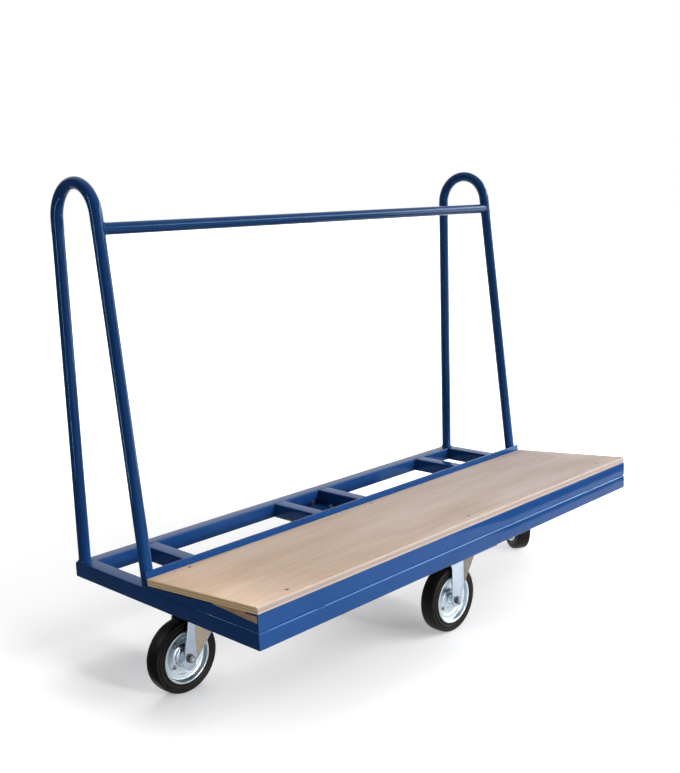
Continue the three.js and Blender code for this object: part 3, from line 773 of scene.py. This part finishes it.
APEX = HOOP_TOP - HOOP_RADIUS
REAR_FOOT = REAR - FOOT_REAR_INSET - HOOP_RADIUS
FRONT_FOOT = REAR_FOOT - FOOT_SPACING
FOOT_LEVEL = RAIL_TOP + WELD_GAP
HOOP_PLACES = {side: sum(corner.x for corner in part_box(side + "_hoop")) / 2 for side in SIDES}
LEGS_CLOSE = tan(REAR_LEAN) + tan(FRONT_LEAN)
BEND_REACH = 1 / cos(REAR_LEAN) + 1 / cos(FRONT_LEAN)
BEND_RADIUS = (FOOT_SPACING - (APEX - RAIL_TOP) * LEGS_CLOSE) / (BEND_REACH - LEGS_CLOSE)
BEND_Z = APEX - BEND_RADIUS
BEND_Y = REAR_FOOT - (BEND_Z - RAIL_TOP) * tan(REAR_LEAN) - BEND_RADIUS / cos(REAR_LEAN)


def rear_leg(z):
    return REAR_FOOT - (z - RAIL_TOP) * tan(REAR_LEAN)


def front_leg(z):
    return FRONT_FOOT + (z - RAIL_TOP) * tan(FRONT_LEAN)


def hoop_line(x):
    """Up the rear leg, round the bend and down the front leg."""
    line = [Vector((x, rear_leg(FOOT_LEVEL), FOOT_LEVEL))]
    centre = Vector((x, BEND_Y, BEND_Z))
    for step in range(BEND_STEPS + 1):
        angle = REAR_LEAN + (pi - FRONT_LEAN - REAR_LEAN) * step / BEND_STEPS
        line.append(centre + Vector((0, cos(angle), sin(angle))) * BEND_RADIUS)
    line.append(Vector((x, front_leg(FOOT_LEVEL), FOOT_LEVEL)))
    return line


def level_foot(ring, lean):
    """Slide the points of a ring along the leg to the height of the foot."""
    return [p + Vector((0, lean, 1)) * (FOOT_LEVEL - p.z) for p in ring]


FOOT_BEAD = 3 * MM
FOOT_BEAD_RISE = 0.35 * FOOT_BEAD
FOOT_BEAD_REACH = 0.2 * FOOT_BEAD
JOINT_BEAD = 1.3 * MM
JOINT_SINK = 0.55 * JOINT_BEAD
JOINT_HEIGHT = 1198 * MM
RING_STEPS = 48


def circle_round(centre, radius, lean):
    """A level ring round a leaning tube."""
    deep = radius / cos(lean)
    return [centre + Vector((radius * cos(t), deep * sin(t), 0)) for t in turns(RING_STEPS)]


def make_hoop(side):
    """One bent tube, with beads round its feet and round a joint in its rear leg."""
    x = HOOP_PLACES[side]
    line = hoop_line(x)
    outside = path_rings(line, [HOOP_RADIUS] * len(line), X_AXIS, TUBE_SIDES)
    inside = path_rings(line, [HOOP_RADIUS - HOOP_WALL] * len(line), X_AXIS, TUBE_SIDES)
    for tube in (outside, inside):
        tube[0] = level_foot(tube[0], -tan(REAR_LEAN))
        tube[-1] = level_foot(tube[-1], tan(FRONT_LEAN))
    bm = bmesh.new()
    skin(bm, outside + inside[::-1], loop=True)
    piece(side + "_hoop_tube", bm, blue_paint, stands_for=[side + "_hoop"])
    for foot, y, lean in (("rear", REAR_FOOT, REAR_LEAN), ("front", FRONT_FOOT, FRONT_LEAN)):
        centre = Vector((x, y, RAIL_TOP + FOOT_BEAD_RISE))
        ring = circle_round(centre, HOOP_RADIUS + FOOT_BEAD_REACH, lean)
        weld(f"{side}_{foot}_foot_weld", ring, FOOT_BEAD, Z_AXIS, closed=True)
    centre = Vector((x, rear_leg(JOINT_HEIGHT), JOINT_HEIGHT))
    ring = circle_round(centre, HOOP_RADIUS - JOINT_SINK, REAR_LEAN)
    weld(side + "_rear_leg_joint_weld", ring, JOINT_BEAD, Z_AXIS, closed=True)


LEG_BEAD = 2.6 * MM
LEG_BEAD_OUT = 0.3 * LEG_BEAD
LEG_BEAD_ASIDE = 0.45 * HOOP_RADIUS
LEG_BEAD_ENDS = (6 * MM, STOP_HEIGHT - STOP_THICKNESS - 4 * MM)


def make_stop_welds():
    """Upright beads where each front leg meets the back of the stop."""
    for side, x in HOOP_PLACES.items():
        for across, name in ((-1, "left"), (1, "right")):
            aside = Vector((across * LEG_BEAD_ASIDE, LEG_BEAD_OUT, 0))
            line = [slope_place @ Vector((x, STOP_REAR, height)) + aside for height in LEG_BEAD_ENDS]
            weld(f"{side}_stop_weld_{name}", line, LEG_BEAD, X_AXIS)


SADDLE_BEAD = 2.4 * MM
SADDLE_OUT = 0.3 * SADDLE_BEAD


def make_top_rail():
    """A tube between the front legs, its ends shaped to them, with a bead round each end."""
    low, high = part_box("top_rail")
    centre_z = (low.z + high.z) / 2
    centre_y = front_leg(centre_z)
    rings = {}
    for side, inward in (("left", 1), ("right", -1)):
        rings[side] = []
        for t in turns(TUBE_SIDES):
            y = TOP_RAIL_RADIUS * cos(t)
            z = TOP_RAIL_RADIUS * sin(t)
            off = y * cos(FRONT_LEAN) - z * sin(FRONT_LEAN)
            reach = sqrt(max(0, HOOP_RADIUS ** 2 - off ** 2))
            x = HOOP_PLACES[side] + inward * reach
            rings[side].append(Vector((x, centre_y + y, centre_z + z)))
    bm = bmesh.new()
    skin(bm, list(rings.values()))
    piece("top_rail_tube", bm, blue_paint, stands_for=["top_rail"])
    for side, inward in (("left", 1), ("right", -1)):
        line = [point + X_AXIS * inward * SADDLE_OUT for point in rings[side]]
        weld(f"top_rail_{side}_weld", line, SADDLE_BEAD, X_AXIS, closed=True)


# Wheels, with half sections as (radius, distance from the middle plane) in millimetres

TYRE_HALF = in_metres([
    (68.1, 17.4), (70.4, 19.8), (72.3, 21.9), (73.2, 23.6), (74.6, 24.2), (76, 23.7), (77, 22.4),
    (78.2, 22.2), (80.4, 23.6), (83.2, 24.7), (86, 24.8), (87.4, 24.2), (88.2, 22.6), (89.2, 22.2),
    (91, 23.2), (93.6, 23.4), (95.8, 22.6), (97.6, 20.6), (98.8, 17.4), (99.5, 12.5), (99.9, 6.5),
    (100, 0)])
DISC_HALF = in_metres([
    (10.4, 30.2), (13.6, 30.4), (16.4, 30), (17, 29), (17.2, 18), (18.6, 15.4), (21.6, 14.4),
    (24.6, 14.2), (26.4, 13.4), (27.6, 11.2), (28.6, 8.6), (30.4, 7.4), (34, 7), (46, 7.2),
    (48.6, 8), (50, 9.6), (51.6, 10.4), (56, 10.7), (61, 11.2), (63.4, 12.8), (64.6, 16),
    (65.4, 20.4), (66.4, 22.8), (67.8, 24.2), (69.4, 24.7), (70.9, 24.4), (71.8, 23.5), (71.9, 22.4),
    (70.4, 20.4), (67.6, 17.6)])
RIVET_HEAD = in_metres([(0, 3.4), (2.2, 3.2), (4, 2.4), (5.2, 1), (5.6, -0.6), (0, -0.6)])
RIVET_CIRCLE = 39 * MM
RIVET_SEAT = 7.2 * MM
RIVET_COUNT = 4
RIVET_PHASE = radians(128)


def mirrored(half):
    """A section on one side of the wheel's middle plane, with its mirror image."""
    return half + [(radius, -height) for radius, height in reversed(half) if height > 0]


def wheel_place(prefix):
    """Two frames at the axle, X along the rolling direction: one upright, one with Z outwards."""
    joint = joints[prefix + "_wheel_spin"]
    axis = Vector(joint["axis"])
    turn = atan2(-axis.x, axis.y)
    upright = Matrix.Translation(Vector(joint["pos_m"])) @ Matrix.Rotation(turn, 4, "Z")
    return upright, upright @ rotation(90, "X")


def make_wheel(prefix):
    """A ribbed tyre on a pressed disc, riveted on both sides."""
    _, place = wheel_place(prefix)
    body = prefix + "_wheel"
    for name, half, material, node in (
            ("_rubber_tyre", TYRE_HALF, rubber, "_tyre"),
            ("_pressed_disc", DISC_HALF, wheel_zinc, "_wheel_disc")):
        bm = bmesh.new()
        lathe(bm, mirrored(half), WHEEL_STEPS, place, loop=True)
        piece(prefix + name, bm, material, body, [prefix + node])
    bm = bmesh.new()
    for side in (0, 180):
        outward = place @ rotation(side, "X")
        for turn in turns(RIVET_COUNT):
            x = RIVET_CIRCLE * cos(RIVET_PHASE + turn)
            y = RIVET_CIRCLE * sin(RIVET_PHASE + turn)
            lathe(bm, RIVET_HEAD, SMALL_STEPS, outward @ moved(x, y, RIVET_SEAT))
    piece(prefix + "_wheel_rivets", bm, dark_steel, body)


# Bolts and nuts

def hexagon(bm, place, flats, z0, z1, chamfer):
    """A hexagon bar with chamfered ends."""
    corner = flats / sqrt(3)
    end = corner - chamfer
    profile = [(end, z0), (corner, z0 + chamfer / 2), (corner, z1 - chamfer / 2), (end, z1)]
    lathe(bm, profile, 6, place)


THREAD_PITCH = 1.5 * MM
THREAD_ROOT = 0.9
THREAD_TIP = 0.86


def thread(bm, place, radius, z0, z1):
    """A short threaded end as a stack of ridges."""
    profile = [(0, z0)]
    count = max(2, round((z1 - z0) / THREAD_PITCH))
    step = (z1 - z0) / count
    for i in range(count):
        bottom = z0 + step * i
        profile += [(radius * THREAD_ROOT, bottom), (radius, bottom + step / 2)]
    profile += [(radius * THREAD_TIP, z1), (0, z1)]
    lathe(bm, profile, SMALL_STEPS, place)


def washer(bm, place, inner, outer, z0, z1):
    profile = [(inner, z0), (outer, z0), (outer, z1), (inner, z1)]
    lathe(bm, profile, SMALL_STEPS * 2, place, loop=True)


AXLE_FLATS = 18 * MM
AXLE_HEX_HEIGHT = 8.4 * MM
AXLE_CHAMFER = 0.9 * MM
AXLE_WASHER = 2 * MM
AXLE_WASHER_RADIUS = 11.5 * MM
AXLE_PLAY = 0.3 * MM
AXLE_NUT_BORE = 1.05 * AXLE_RADIUS
AXLE_END = 2 * MM
LEG_OUTER = LEG_MIDDLE + LEG_THICKNESS / 2 + AXLE_PLAY


def make_axle(prefix, body):
    """Bolt head on one side, nut and thread end on the other, a washer under each."""
    _, place = wheel_place(prefix)
    other = place @ rotation(180, "X")
    seat = LEG_OUTER + AXLE_WASHER
    top = seat + AXLE_HEX_HEIGHT
    shank = [(0, -LEG_OUTER), (AXLE_RADIUS, -LEG_OUTER), (AXLE_RADIUS, LEG_OUTER), (0, LEG_OUTER)]
    bm = bmesh.new()
    washer(bm, other, AXLE_RADIUS, AXLE_WASHER_RADIUS, LEG_OUTER, seat)
    hexagon(bm, other, AXLE_FLATS, seat, top, AXLE_CHAMFER)
    lathe(bm, shank, SMALL_STEPS, place)
    thread(bm, place, AXLE_RADIUS, LEG_OUTER, top + AXLE_END)
    piece(prefix + "_axle", bm, zinc, body, [prefix + "_axle_bolt"])
    bm = bmesh.new()
    washer(bm, place, AXLE_NUT_BORE, AXLE_WASHER_RADIUS, LEG_OUTER, seat)
    hexagon(bm, place, AXLE_FLATS, seat, top, AXLE_CHAMFER)
    piece(prefix + "_axle_locknut", bm, dark_steel, body, [prefix + "_axle_nut"])


BOLT_RADIUS = 5 * MM
BOLT_FLATS = 15 * MM
BOLT_HEAD = 6.4 * MM
BOLT_CHAMFER = 0.8 * MM
BOLT_TURN = 30
PLATE_WASHER = 1.8 * MM
PLATE_WASHER_RADIUS = 10 * MM
PLATE_NUT = 8 * MM
THREAD_START = 9 * MM
THREAD_END = 14 * MM


def make_plate_bolts(prefix, plate_node):
    """Four bolts up through a castor plate, with nuts on top of the mounting plate."""
    centre = top_middle(plate_node)
    bottom = centre.z - PLATE_THICKNESS
    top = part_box(prefix + "_mount_plate")[1].z
    seat = top + PLATE_WASHER
    bm = bmesh.new()
    for side_x in (-0.5, 0.5):
        for side_y in (-0.5, 0.5):
            x = centre.x + side_x * BOLT_SPACING.x
            y = centre.y + side_y * BOLT_SPACING.y
            place = moved(x, y, 0) @ rotation(BOLT_TURN, "Z")
            hexagon(bm, place, BOLT_FLATS, bottom - BOLT_HEAD, bottom, BOLT_CHAMFER)
            washer(bm, place, BOLT_RADIUS, PLATE_WASHER_RADIUS, top, seat)
            hexagon(bm, place, BOLT_FLATS, seat, seat + PLATE_NUT, BOLT_CHAMFER)
            thread(bm, place, BOLT_RADIUS, top + THREAD_START, top + THREAD_END)
    piece(prefix + "_plate_bolts", bm, dark_steel)


# Castor brackets and forks

LEG_COLUMNS = 7
END_STEPS = 10
END_START = 0.4
SHEET_TURN = 0.12
SHEET_SOFTNESS = 3 * MM
CASTOR_EDGE = 0.8 * MM
CASTOR_SHARP = radians(50)
FLANK_START = 1.5 * MM


def edge_at(points, z):
    """Where an edge given by (x, z) points lies at a height."""
    for (x0, z0), (x1, z1) in zip(points, points[1:]):
        if z <= z1:
            return x0 + (x1 - x0) * max(0, (z - z0) / (z1 - z0))
    return points[-1][0]


def sheet_row(start, end, crease):
    """Places across a sheet, with one on its crease where the sheet reaches that far."""
    middle = min(max(crease, start), end)
    row = [start + (middle - start) * i / LEG_COLUMNS for i in range(LEG_COLUMNS)]
    return row + [middle + (end - middle) * i / LEG_COLUMNS for i in range(LEG_COLUMNS + 1)]


def sheet_depth(x, crease):
    """How far the sheet turns in beyond its crease, with a soft bend."""
    past = x - crease
    return SHEET_TURN * 0.5 * (past + sqrt(past * past + SHEET_SOFTNESS ** 2))


def leg_sheet(trailing, leading, end_radius, end_z, top, crease):
    """Points of a leg's middle surface, in rows from its round end to its top."""
    rows = []
    for step in range(END_STEPS):
        angle = pi / 2 * (step + END_START) / END_STEPS
        half = end_radius * sin(angle)
        rows.append((end_z - end_radius * cos(angle), -half, half))
    for step in range(LEG_COLUMNS * 2 + 1):
        z = end_z + (top - end_z) * step / (LEG_COLUMNS * 2)
        rows.append((z, edge_at(trailing, z), edge_at(leading, z)))
    return [[Vector((x, LEG_MIDDLE - sheet_depth(x, crease), z)) for x in sheet_row(start, end, crease)]
            for z, start, end in rows]


def bend_over(sheet, radius, outward):
    """Add a quarter bend to the top of a sheet, outwards by 1 or inwards by -1."""
    last = sheet[-1]
    for step in range(1, CORNER_STEPS + 1):
        angle = pi / 2 * step / CORNER_STEPS
        shift = Vector((0, outward * (1 - cos(angle)), sin(angle))) * radius
        sheet.append([point + shift for point in last])


def other_side(sheet):
    """The mirror image of a sheet, with its rows from the top down."""
    return [[Vector((p.x, -p.y, p.z)) for p in row] for row in reversed(sheet)]


def add_sheet(bm, rows):
    """Faces between rows of points."""
    made = [[bm.verts.new(point) for point in row] for row in rows]
    for a, b in zip(made, made[1:]):
        for i in range(len(a) - 1):
            bm.faces.new((a[i], a[i + 1], b[i + 1], b[i]))


def bevel_edges(made, width, angle):
    """A modifier that rounds the edges sharper than an angle."""
    bevel = made.modifiers.new("edge", "BEVEL")
    bevel.width = width
    bevel.segments = 2
    bevel.limit_method = "ANGLE"
    bevel.angle_limit = angle
    return bevel


def thicken(made):
    """Give a sheet its thickness and rounded edges."""
    solid = made.modifiers.new("thickness", "SOLIDIFY")
    solid.thickness = LEG_THICKNESS
    solid.offset = 0
    bevel_edges(made, CASTOR_EDGE, CASTOR_SHARP)
    settle(made)


def paint_flank_shade(made, upright, crease, leading, strip_share, material):
    """Painted shade on the outer side of the legs: a darker tone from their crease to a bright strip at
    the edge, for the shaded floor the flank mirrors.
    """
    made.data.materials.append(material)
    back = upright.inverted()
    for polygon in made.data.polygons:
        centre = back @ polygon.center
        facing = back.to_3x3() @ polygon.normal
        reach = (edge_at(leading, centre.z) - crease) * (1 - strip_share)
        on_flank = FLANK_START < centre.x - crease < reach
        if on_flank and facing.y * centre.y > 0 and abs(facing.y) > FACING:
            polygon.material_index = 1


def join_into(made, bm, place):
    """Add the faces of bm to an object's mesh."""
    bmesh.ops.recalc_face_normals(bm, faces=bm.faces)
    bm.transform(place)
    bm.from_mesh(made.data)
    bm.to_mesh(made.data)
    bm.free()
    shade(made.data)


FORK_CREASE = 21 * MM
FORK_END_RADIUS = 21 * MM
FORK_END_Z = -12 * MM
FORK_TRAILING = [(-FORK_END_RADIUS, FORK_END_Z), (4 * MM, 112 * MM)]
FORK_LEADING = [(FORK_END_RADIUS, FORK_END_Z), (108 * MM, 72 * MM), (108 * MM, 112 * MM)]
FORK_BEND = 9 * MM
CROWN = in_metres([
    (10.6, 106.6), (43, 106.6), (46.2, 107.6), (47, 109.6), (47, 117), (46.4, 117.8), (45.4, 117.8),
    (44.8, 117), (44.4, 113.4), (43.4, 112.2), (10.6, 112.2)])


def make_fork(prefix):
    """One sheet bent over the top, and a round crown with a raised rim."""
    upright, _ = wheel_place(prefix)
    top = CROWN_MIDDLE - FORK_BEND
    half = leg_sheet(FORK_TRAILING, FORK_LEADING, FORK_END_RADIUS, FORK_END_Z, top, FORK_CREASE)
    bend_over(half, FORK_BEND, -1)
    half += [[Vector((p.x, p.y * share, p.z)) for p in half[-1]] for share in (0.5, 0)]
    bm = bmesh.new()
    add_sheet(bm, half + other_side(half[:-1]))
    fork = piece(prefix + "_swivel_fork", bm, zinc, prefix + "_swivel", [prefix + "_fork"], place=upright)
    thicken(fork)
    paint_flank_shade(fork, upright, FORK_CREASE, FORK_LEADING, 1 / LEG_COLUMNS, fork_flank_painted_shade)
    crown = bmesh.new()
    lathe(crown, CROWN, WHEEL_STEPS, moved(SWIVEL_TRAIL, 0, 0), loop=True)
    join_into(fork, crown, upright)


PLATE_CORNER = 12 * MM
CUP = in_metres([
    (10.6, -11.7), (40.6, -11.7), (41.6, -11.2), (43, -9.2), (46.6, -6.6), (48.5, -5.8), (10.6, -5.8)])


def castor_plate(z0, z1):
    """A plate with rounded corners and edges, about the upright axis."""
    bm = bmesh.new()
    x = PLATE_LENGTH / 2
    y = PLATE_WIDTH / 2
    slab(bm, rounded_rectangle(-x, x, -y, y, PLATE_CORNER), z0, z1)
    soften(bm, CASTOR_EDGE)
    return bm


def make_top_plate(prefix):
    """Castor plate with the pressed cup of the ball race under it."""
    place = Matrix.Translation(top_middle(prefix + "_top_plate"))
    bm = castor_plate(-PLATE_THICKNESS, 0)
    bm.transform(place)
    lathe(bm, CUP, WHEEL_STEPS, place, loop=True)
    piece(prefix + "_castor_plate", bm, zinc, stands_for=[prefix + "_top_plate"])


BRACKET_CREASE = 33 * MM
BRACKET_END_RADIUS = 20 * MM
BRACKET_KNEE = (24 * MM, 26 * MM)
BRACKET_SHOULDER = 13 * MM
BRACKET_FLARE = 33 * MM
BRACKET_BEND = 7 * MM


def make_bracket(prefix):
    """Two pressed legs that curve out into the plate."""
    upright, _ = wheel_place(prefix)
    low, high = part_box(prefix + "_bracket")
    axle = upright.translation
    top = high.z - axle.z
    shoulder = top - BRACKET_SHOULDER
    rear = low.x - axle.x
    front = high.x - axle.x
    radius = BRACKET_END_RADIUS
    trailing = [(-radius, 0), (-radius, top - BRACKET_FLARE), (rear, shoulder), (rear, top)]
    leading = [(radius, 0), BRACKET_KNEE, (front, shoulder), (front, top)]
    bend_z = top - PLATE_THICKNESS / 2 - BRACKET_BEND
    leg = leg_sheet(trailing, leading, radius, 0, bend_z, BRACKET_CREASE)
    bend_over(leg, BRACKET_BEND, 1)
    bm = bmesh.new()
    add_sheet(bm, leg)
    add_sheet(bm, other_side(leg))
    bracket = piece(prefix + "_fixed_bracket", bm, zinc, stands_for=[prefix + "_bracket"], place=upright)
    thicken(bracket)
    paint_flank_shade(bracket, upright, BRACKET_CREASE, leading, 0, bracket_flank_painted_shade)
    place = upright @ moved(FIXED_OFFSET, 0, 0)
    join_into(bracket, castor_plate(top - PLATE_THICKNESS, top), place)


# Pieces of the model that keep their own mesh

SAME_POINT = 0.01 * MM


def dress(node, material, edge=0):
    """A node of the model with a finish and, where an edge is given, softened edges."""
    made = frame["nodes"][node]
    made.data.materials.clear()
    made.data.materials.append(material)
    slot_of(material)
    merge = made.modifiers.new("merge", "WELD")
    merge.merge_threshold = SAME_POINT
    if edge:
        bevel_edges(made, edge, SHARP).harden_normals = True


BEARER_EDGE = 0.6 * MM
WEDGE_EDGE = 0.5 * MM
MOUNT_EDGE = 0.8 * MM


def dress_kept_nodes():
    for name in CROSS_NAMES:
        dress("deck_bearer_" + name, blue_paint, BEARER_EDGE)
    for name in SIDES:
        dress("deck_wedge_" + name, softwood, WEDGE_EDGE)
        dress(name + "_ball_race", dark_steel)
        dress(name + "_kingpin", zinc)
    for name in CASTORS:
        dress(name + "_mount_plate", blue_paint, MOUNT_EDGE)
        dress(name + "_axle_sleeve", dark_steel)


# Stage, light and camera

FLOOR_HALF = 60
FLOOR_TONE = 0.95
FLOOR_BOUNCE = 0.45
# Painted shadow: the floor's glow is weakest near a point behind and left of the cart's middle, and full
# beyond the fade's far distance.
FLOOR_LIFT = (0.17, 1)
PAINTED_SHADOW_FADE = (0.6, 2)
PAINTED_SHADOW_MIDDLE = (-0.3, 0.7, 0)
FLAG_TONE = (0.15, 0.15, 0.15, 1)
FLAG_LIFT = 4 * MM
WORLD_LIGHT = 0.3
VIEW_RANGE = 200


def card(name, corner, first_side, second_side, material):
    """A flat card given by a corner and two sides."""
    near = Vector(corner)
    far = near + Vector(second_side)
    bm = bmesh.new()
    add_sheet(bm, [[row, row + Vector(first_side)] for row in (near, far)])
    mesh = mesh_from(name, bm)
    mesh.materials.append(material)
    return new_object(name, mesh)


def make_floor():
    size = 2 * FLOOR_HALF
    corner = (-FLOOR_HALF, -FLOOR_HALF, 0)
    floor = card("floor", corner, (size, 0, 0), (0, size, 0), make_floor_material())


def seen_directly(tree):
    """1 for rays from the camera and for mirrored and refracted rays, 0 for the rest."""
    kinds = add_node(tree, "LightPath", {}).outputs
    most = calculate("MAXIMUM", kinds["Is Camera Ray"], kinds["Is Glossy Ray"])
    return calculate("MAXIMUM", most, kinds["Is Transmission Ray"])


def make_floor_material():
    """Matt pale floor that reads as white in the open and keeps the cart's shadow, deepened by a painted
    shadow where its glow is weaker near the cart.
    """
    material, tree, shader = new_material("floor")
    direct = seen_directly(tree)
    tone = ramp(direct, [(0, [FLOOR_BOUNCE] * 3), (1, [FLOOR_TONE] * 3)])
    away = add_node(tree, "VectorMath", {0: own_place(tree), 1: PAINTED_SHADOW_MIDDLE})
    away.operation = "DISTANCE"
    painted_shadow_lift = map_range(away.outputs["Value"], FLOOR_LIFT, PAINTED_SHADOW_FADE, "SMOOTHSTEP")
    fill(shader, {
        "Base Color": tone, "Roughness": 1, "Specular IOR Level": 0, "Emission Color": (1, 1, 1, 1),
        "Emission Strength": calculate("MULTIPLY", painted_shadow_lift, direct)})
    return material


def make_world():
    """White where it is seen, and a plain even light on the cart."""
    world = bpy.data.worlds.new("studio")
    world.use_nodes = True
    tree = world.node_tree
    level = map_range(seen_directly(tree), (WORLD_LIGHT, 1), (0, 1))
    fill(tree.nodes["Background"], {"Color": (1, 1, 1, 1), "Strength": level})
    bpy.context.scene.world = world


def make_flags():
    """Dark cards that the camera doesn't see, for the paint to mirror."""
    material, _, shader = new_material("flag")
    fill(shader, {"Base Color": FLAG_TONE, "Roughness": 1, "Specular IOR Level": 0})
    flags = [
        card("left_flag", (-1.25, -1.1, 0), (0, 3.7, 0), (0, 0, 2.6), material),
        card("left_foot_flag", (-1.25, -1.1, FLAG_LIFT), (0.38, 0, 0), (0, 3.7, 0), material),
        card("right_flag", (0.9, -2.2, FLAG_LIFT), (2.5, 0, 0), (0, 1.3, 0), material)]
    for flag in flags:
        flag.visible_camera = False
        flag.visible_diffuse = False
        flag.visible_shadow = False


def area_light(name, place, target, size, radiance):
    """A soft box that the camera doesn't see, given by its brightness."""
    light = bpy.data.lights.new(name, "AREA")
    light.shape = "RECTANGLE"
    light.size, light.size_y = size
    light.energy = radiance * pi * size[0] * size[1]
    made = new_object(name, light)
    made.location = place
    made.rotation_euler = (Vector(target) - Vector(place)).to_track_quat("-Z", "Y").to_euler()
    made.visible_camera = False
    return made


def sun_light(name, direction, strength, spread):
    """A distant light with soft shadows, which leaves no highlight of its own."""
    light = bpy.data.lights.new(name, "SUN")
    light.energy = strength
    light.angle = radians(spread)
    made = new_object(name, light)
    made.rotation_euler = (-Vector(direction)).to_track_quat("-Z", "Y").to_euler()
    made.visible_glossy = False


def make_lights():
    """Two distant lights, a low front panel, and three panels that only show as highlights."""
    sun_light("top_light", direction=(0.55, 0.45, 1), strength=1.18, spread=40)
    sun_light("key_light", direction=(0.5, -0.7, 0.52), strength=1.75, spread=40)
    front = area_light(
        "front_panel", place=(0, -2.6, 0.95), target=(-0.2, -0.39, 0.33), size=(2.8, 0.3), radiance=1.3)
    front.data.spread = radians(15)
    high = area_light(
        "high_panel", place=(3.2, -2, 2.5), target=(0, -0.39, 0.29), size=(4.6, 1.2), radiance=10)
    side = area_light(
        "right_panel", place=(3.6, -1.4, 0.85), target=(-0.4, 0.1, 0.8), size=(2, 1.7), radiance=4)
    strip = area_light(
        "left_strip", place=(-1.22, 0.26, 0.97), target=(-0.8, 0.1, 0.97), size=(0.06, 1.1), radiance=22)
    for light in (high, side, strip):
        light.visible_diffuse = False


def make_camera():
    """The photograph's camera."""
    camera = bpy.data.cameras.new("camera")
    camera.lens = FOCAL_LENGTH_PIXELS * SENSOR / IMAGE_HEIGHT
    camera.sensor_width = SENSOR
    camera.clip_end = VIEW_RANGE
    a, e = CAMERA_AZIMUTH, CAMERA_ELEVATION
    back = Vector((sin(a) * cos(e), -cos(a) * cos(e), sin(e)))
    level = Vector((cos(a), sin(a), 0))
    up = back.cross(level)
    right = level * cos(CAMERA_ROLL) + up * sin(CAMERA_ROLL)
    top = up * cos(CAMERA_ROLL) - level * sin(CAMERA_ROLL)
    made = new_object("camera", camera)
    turn = Matrix((right, top, back)).transposed().to_4x4()
    made.matrix_world = Matrix.Translation(CAMERA_PLACE) @ turn
    bpy.context.scene.camera = made


make_camera()
make_world()
make_floor()
make_flags()
make_lights()
make_chassis()
make_chassis_welds()
make_board()
make_screws()
make_front_angle()
make_stop_angle()
for side in SIDES:
    make_hoop(side)
make_stop_welds()
make_top_rail()
for prefix in SIDES:
    make_fork(prefix)
    make_top_plate(prefix)
    make_plate_bolts(prefix, prefix + "_top_plate")
    make_axle(prefix, prefix + "_swivel")
for prefix in FIXED_CASTORS:
    make_bracket(prefix)
    make_plate_bolts(prefix, prefix + "_bracket")
    make_axle(prefix, "chassis")
for prefix in CASTORS:
    make_wheel(prefix)
dress_kept_nodes()
bpy.context.scene.view_settings.view_transform = "Standard"
